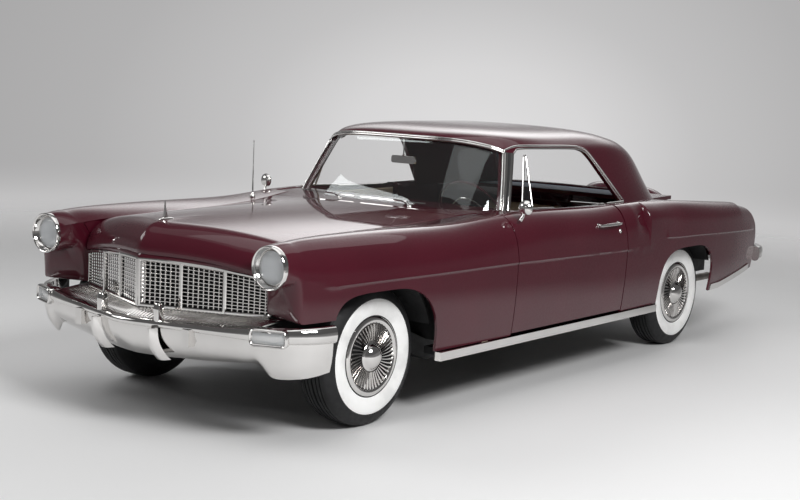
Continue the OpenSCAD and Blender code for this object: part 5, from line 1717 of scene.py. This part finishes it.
def padPiece(name, outline, half, radius, lines, quick):
    piece = makePiece(name, [blockOf(outline, half, radius)], "body", [leather], "leather", fix=True, sharp=180)
    remeshed(piece, seat["voxel"] * (1.5 if quick else 1))
    mesh = piece.data
    count = len(mesh.vertices)
    first = np.zeros(count * 3)
    mesh.vertices.foreach_get("co", first)
    first = first.reshape(-1, 3)
    normals = np.array([v.normal[:] for v in mesh.vertices])
    if quick:
        shaped = first + normals * seat["crown"] * 0.4
    else:
        cloth = piece.modifiers.new("cushion", "CLOTH")
        cloth.settings.quality, cloth.settings.mass = 4, 0.3
        cloth.settings.use_pressure, cloth.settings.uniform_pressure_force = True, seat["pressure"]
        cloth.settings.effector_weights.gravity = 0
        for s in range(1, seat["frames"] + 1):
            scene.frame_set(s)
        applyModifiers(piece)
        mesh = piece.data
        shaped = np.zeros(count * 3)
        mesh.vertices.foreach_get("co", shaped)
        shaped = shaped.reshape(-1, 3)
        scene.frame_set(1)
    step = shaped - first
    length = np.linalg.norm(step, axis=1, keepdims=True)
    step *= np.minimum(1, seat["cap"] / np.maximum(length, 1e-9))
    # pleats run from front to rear: each sinks along a seam line and rises beside it
    sunk = 1 - crownOf(first, lines, 0)
    shaped = first + step - normals * (sunk * seat["seam"])[:, None]
    mesh.vertices.foreach_set("co", shaped.ravel())
    mesh.polygons.foreach_set("use_smooth", [True] * len(mesh.polygons))
    return piece


def makeSeats():
    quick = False
    np.random.seed(seat["seed"])
    pleats = np.linspace(-0.60, 0.60, 13)
    rearPleats = np.linspace(-0.48, 0.48, 11)
    front = [
        padPiece("frontCushion", [(-322, 350), (-322, 508), (182, 488), (182, 350)], 0.685, 0.045, pleats, quick),
        padPiece("frontBackrest", [(165, 515), (245, 868), (335, 868), (300, 360), (210, 360)], 0.685, 0.034,
                 pleats, quick)]
    rear = [
        padPiece("rearCushion", [(568, 352), (568, 533), (985, 518), (985, 420), (875, 352)], 0.548, 0.045,
                 rearPleats, quick),
        padPiece("rearBackrest", [(1005, 535), (1072, 888), (1140, 888), (1140, 520), (1060, 470)], 0.548, 0.034,
                 rearPleats, quick)]
    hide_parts("front_seat")
    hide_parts("front_seat")
    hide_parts("rear_seat")
    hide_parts("rear_seat")
    # piping along the upper front edge of the cushions and over the backrests
    lines = [([(0.66, -0.300, 0.496), (0.0, -0.312, 0.500), (-0.66, -0.300, 0.496)], 0.005),
             ([(0.672, 0.30, 0.80), (0.655, 0.292, 0.862), (0.60, 0.290, 0.880), (-0.60, 0.290, 0.880),
               (-0.655, 0.292, 0.862), (-0.672, 0.30, 0.80)], 0.005),
             ([(0.52, 0.592, 0.520), (0.0, 0.582, 0.526), (-0.52, 0.592, 0.520)], 0.005),
             ([(0.535, 1.105, 0.80), (0.520, 1.105, 0.880), (0.46, 1.105, 0.898), (-0.46, 1.105, 0.898),
               (-0.520, 1.105, 0.880), (-0.535, 1.105, 0.80)], 0.005)]
    makePiece("seatPiping", [tube(resampled(roundedPath(np.array(p)), 60), r, 10) for p, r in lines], "body", pipe,
              fix=True)
    base = [boxOf((-0.62, -0.26, 0.336), (-0.17, 0.15, 0.352)), boxOf((0.17, -0.26, 0.336), (0.62, 0.15, 0.352))]
    makePiece("seatBases", base, "body", carpet, bevel=0.004, fix=True)


makeSeats()
print("seats made")


dials = {"back": -0.782, "z": 0.835, "rounds": ((0.230, 0.036), (0.325, 0.050), (0.445, 0.050), (0.540, 0.036))}


def makeDash():
    # padded top with a rolled edge towards the seats over an upright face, carried across the car
    section = [(-0.860, 0.935), (-0.852, 0.957), (-0.830, 0.963), (-0.800, 0.960), (-0.775, 0.945), (-0.765, 0.925),
               (-0.769, 0.905), (-0.782, 0.893), (-0.786, 0.880), (-0.778, 0.790), (-0.788, 0.772), (-0.860, 0.772)]
    ring = resampled(roundedOutline(section, 0.008, 4), 90, closed=True)
    x = np.linspace(-0.738, 0.738, 60)
    grid = np.array([np.column_stack([np.full(90, v), ring]) for v in x])
    parts = [closedSweep(grid)]
    # four round dials in chrome rings before the driver, a centre panel and a glove lid
    z = dials["z"]
    for x, r in dials["rounds"]:
        at, way = (x, dials["back"], z), (0, 1, 0)
        parts.append(lathe([(r, -0.006), (r + 0.007, 0.0), (r + 0.006, 0.007), (r, 0.008), (r - 0.002, 0.003),
                            (r - 0.002, -0.006)], at, way, 48, material=1))
        parts.append(lathe([(r - 0.001, 0.002), (0, 0.0022)], at, way, 48, material=2))
        parts.append(lathe([(0.005, 0.002), (0.004, 0.006), (0, 0.007)], at, way, 20, material=1))
        for k in range(11):
            mark = boxOf((r - 0.010, -0.0009, 0), (r - 0.004, 0.0009, 0.001), 3)
            mark["points"] = mark["points"] @ np.array(Matrix.Rotation(math.radians(-30 + 24 * k), 3, "Z")).T
            mark["points"] = mark["points"][:, [0, 2, 1]] + (x, -0.7798, z)
            parts.append(mark)
        hand = boxOf((-0.0008, -0.002, -0.004), (0.0008, 0.0005, r - 0.010), 3)
        parts.append(moved(turned(hand, "Y", math.radians(40)), (x, -0.7775, z)))
    parts.append(moved(prism(roundedBox(0.22, 0.09, 0.012), -0.004, 0.004, (0, 2, 1), 1), (0.0, -0.779, z)))
    parts += [lathe([(0.012, 0), (0.012, 0.012), (0.009, 0.016), (0, 0.017)], (x, -0.776, 0.815), (0, 1, 0), 28,
                    material=3) for x in (-0.075, -0.025, 0.025, 0.075)]
    parts.append(moved(prism(roundedBox(0.34, 0.08, 0.012), -0.003, 0.003, (0, 2, 1)), (-0.400, -0.779, z)))
    parts.append(tube([(0.375, -0.480, 0.8925), (0.375, -0.800, 0.708), (0.375, -1.140, 0.512)], 0.0235, 28))
    parts.append(boxOf((-0.700, -0.7795, 0.7795), (0.700, -0.7765, 0.7845), 1))
    return parts


makePiece("dashPanel", makeDash(), "body", [topLeather, chrome, dialFace, shinyPlastic], "paint", ["dashboard"],
          fix=True, sharp=40)

wheel = {"centre": (0.375, -0.415, 0.930), "lean": math.radians(60), "rim": 0.215}


def makeSteering():
    # made flat about the column and then leaned: z runs along the column towards the driver
    a = np.linspace(0, 2 * np.pi, 120, endpoint=False)
    rim = np.column_stack([wheel["rim"] * np.cos(a), wheel["rim"] * np.sin(a), np.zeros(120)])
    bumps = 0.0085 + 0.0008 * np.cos(40 * a)
    parts = [tube(rim, bumps, 14, closed=True)]
    ring = np.column_stack([0.118 * np.cos(a), 0.118 * np.sin(a), np.full(120, -0.020)])
    parts.append(tube(ring[60:], 0.0035, 10, material=1))
    for turn in (0, np.pi):
        spoke = np.array([(0.024, 0, -0.032), (0.09, 0, -0.026), (0.16, 0, -0.010), (0.212, 0, 0)])
        spoke = spoke * (math.cos(turn), 1, 1)
        parts.append(carried(curveThrough(spoke, 16), roundedBox(0.008, 0.020, 0.003, 3), (0, 0, 1)))
    parts.append(lathe([(0.027, -0.067), (0.028, -0.030), (0.028, -0.022), (0.024, -0.014), (0.018, -0.0095),
                        (0, -0.008)], (0, 0, 0), (0, 0, 1), 48))
    parts.append(lathe([(0.017, -0.011), (0.0165, -0.006), (0.010, -0.003), (0, -0.002)], (0, 0, 0), (0, 0, 1), 40,
                       material=1))
    return [moved(turned(p, "X", -wheel["lean"]), wheel["centre"]) for p in parts]


makePiece("steeringRim", makeSteering(), "steering_wheel", [shinyPlastic, chrome], replaced=["steering_wheel"],
          fix=True)
print("dash made")


card = {"y": (-0.800, 0.350), "z": (0.372, 0.955), "face": 0.8045, "back": 0.8048, "restX": 0.803, "restZ": 0.625}


def makeDoorCards():
    # padded panel with an armrest and upright pleats on the inner side of the door
    (front, rear), (low, high) = card["y"], card["z"]
    yy, zz = np.meshgrid(np.linspace(front, rear, 230), np.linspace(low, high, 60), indexing="ij")
    pleat = np.abs(np.sin(np.pi * (yy - front) / 0.045)) ** 0.5
    upper = smoothStep(0.62, 0.64, zz) * (1 - smoothStep(0.86, 0.88, zz))
    edge = np.minimum(np.minimum(yy - front, rear - yy), np.minimum(zz - low, high - zz))
    depth = 0.008 * smoothStep(0, 0.012, edge) + 0.004 * pleat * upper * smoothStep(0.01, 0.03, edge)
    points = np.stack([card["face"] - depth, yy, zz], -1)
    parts = [plateOf(points, inner=points * (0, 1, 1) + (card["back"], 0, 0))]
    wall, middle = card["restX"], card["restZ"]
    rest = [(0.0, 0.0), (0.052, 0.008), (0.056, 0.036), (0.048, 0.046), (0.0, 0.050)]
    ring = resampled(roundedOutline([(wall - a, 0.600 + b) for a, b in rest], 0.008, 4), 40, closed=True)
    reach = np.linspace(-0.36, 0.20, 24)
    shrink = np.sin(np.linspace(0.02, np.pi - 0.02, 24)) ** 0.25
    parts.append(closedSweep(np.array([
        np.column_stack([wall + (ring[:, 0] - wall) * s, np.full(40, v), middle + (ring[:, 1] - middle) * s])
        for v, s in zip(reach, shrink)])))
    for height in (0.630, 0.870):
        parts.append(tube([(0.796, -0.79, height), (0.796, 0.34, height)], 0.0022, 8, material=1))
    parts.append(lathe([(0.012, 0), (0.012, 0.012), (0.008, 0.020), (0, 0.021)], (0.797, -0.42, 0.78), (-1, 0, 0), 24,
                       material=1))
    parts.append(tube([(0.782, -0.42, 0.78), (0.778, -0.38, 0.80), (0.778, -0.34, 0.83)], 0.005, 10, material=1))
    return parts


makePair("doorCard", makeDoorCards(), "door", [leather, chrome], "leather", sharp=60)


def insideOf(p, outline):
    # even-odd rule over the sides of a flat outline
    within = False
    for a, b in zip(outline, np.roll(outline, -1, 0)):
        if (a[1] > p[1]) != (b[1] > p[1]) and p[0] < (b[0] - a[0]) * (p[1] - a[1]) / (b[1] - a[1]) + a[0]:
            within = not within
    return within


def grown(outline, by=0.016):
    middle = outline.mean(0)
    return middle + (outline - middle) * (1 + by / np.abs(outline - middle).max())


sideOpening, frontOpening, rearOpening = grown(sideWindow), grown(frontWindow), grown(rearWindow)


def inOpening(p):
    return (insideOf(p[1:], sideOpening) or insideOf(p[1:], frontOpening)
            or p[1] > 0.7 and insideOf(p[[0, 2]], rearOpening))


def makeLining():
    # headliner inside the roof shell, light over the seats; beside the rear window its cloth is darker, painted shade
    # for the shadow that falls there
    levels = np.linspace(3.5, 10.4, 46)
    rings = greenRings(levels, green["wall"] + 0.004)
    size = rings.shape[1]
    ids = np.arange(rings.shape[0] * size).reshape(rings.shape[0], size)
    quads = {0: [], 1: []}
    for i in range(rings.shape[0] - 1):
        for j in range(size):
            k = (j + 1) % size
            corner = [rings[i, j], rings[i, k], rings[i + 1, k], rings[i + 1, j]]
            middle = sum(corner) / 4
            if not inOpening(middle):
                # faces beside the rear window take the darker cloth: painted shade
                dark = int(middle[1] > 0.62 and middle[2] < 1.30)
                quads[dark].append([ids[i, j], ids[i, k], ids[i + 1, k], ids[i + 1, j]])
    flat = rings.reshape(-1, 3)
    return [{"points": flat, "faces": quads[m], "material": m} for m in (0, 1) if quads[m]]


makePiece("headLining", makeLining(), "body", [headliner, shadeCloth], sharp=60)


rug = {"y": (-1.10, 0.55), "z": 0.3395, "skin": 0.006, "tunnelRadius": 0.1385, "tunnelZ": 0.321}


def makeCarpets():
    # rugs over the flat of the floor on both sides of the tunnel, and one over the tunnel
    x, y = np.linspace(0.140, 0.770, 40), np.linspace(*rug["y"], 90)
    z = rug["z"] + 0.0015 * np.sin(40 * x)[None] * np.sin(31 * y)[:, None]
    grid = gridOf(x[None, :], y[:, None], z)
    a = np.linspace(0, np.pi, 30)
    radius, middle = rug["tunnelRadius"], rug["tunnelZ"]
    arch = np.column_stack([radius * np.cos(a), middle + radius * np.sin(a)])
    outer = np.array([np.column_stack([arch[:, 0], np.full(30, v), arch[:, 1]]) for v in np.linspace(*rug["y"], 30)])
    inner = (outer - (0, 0, middle)) * (0.985, 1, 0.985) + (0, 0, middle)
    return bothSides([plateOf(grid, flip=True, inner=grid - (0, 0, rug["skin"]))]) + [plateOf(outer, inner=inner)]


makePiece("carpets", makeCarpets(), "body", carpet, fix=True)


def makeShelfCloth():
    # cloth over the shelf as far as the inside of the roof shell: half width and rear end follow its foot
    y = np.linspace(1.085, 1.495, 40)
    half = np.minimum(greenX(y, np.full(40, 0.976), 0.030), 0.60)
    keep = half > 0.02
    x = np.linspace(-1, 1, 40)[None] * half[keep][:, None]
    grid = gridOf(x, y[keep][:, None], 0.9785 + 0 * x)
    return plateOf(grid, flip=True, inner=grid - (0, 0, 0.003))


# the shelf's cloth is the lining's darker cloth, whose colour is painted shade
makePiece("shelfCloth", [makeShelfCloth()], "body", shadeCloth, fix=True)
print("cabin made")
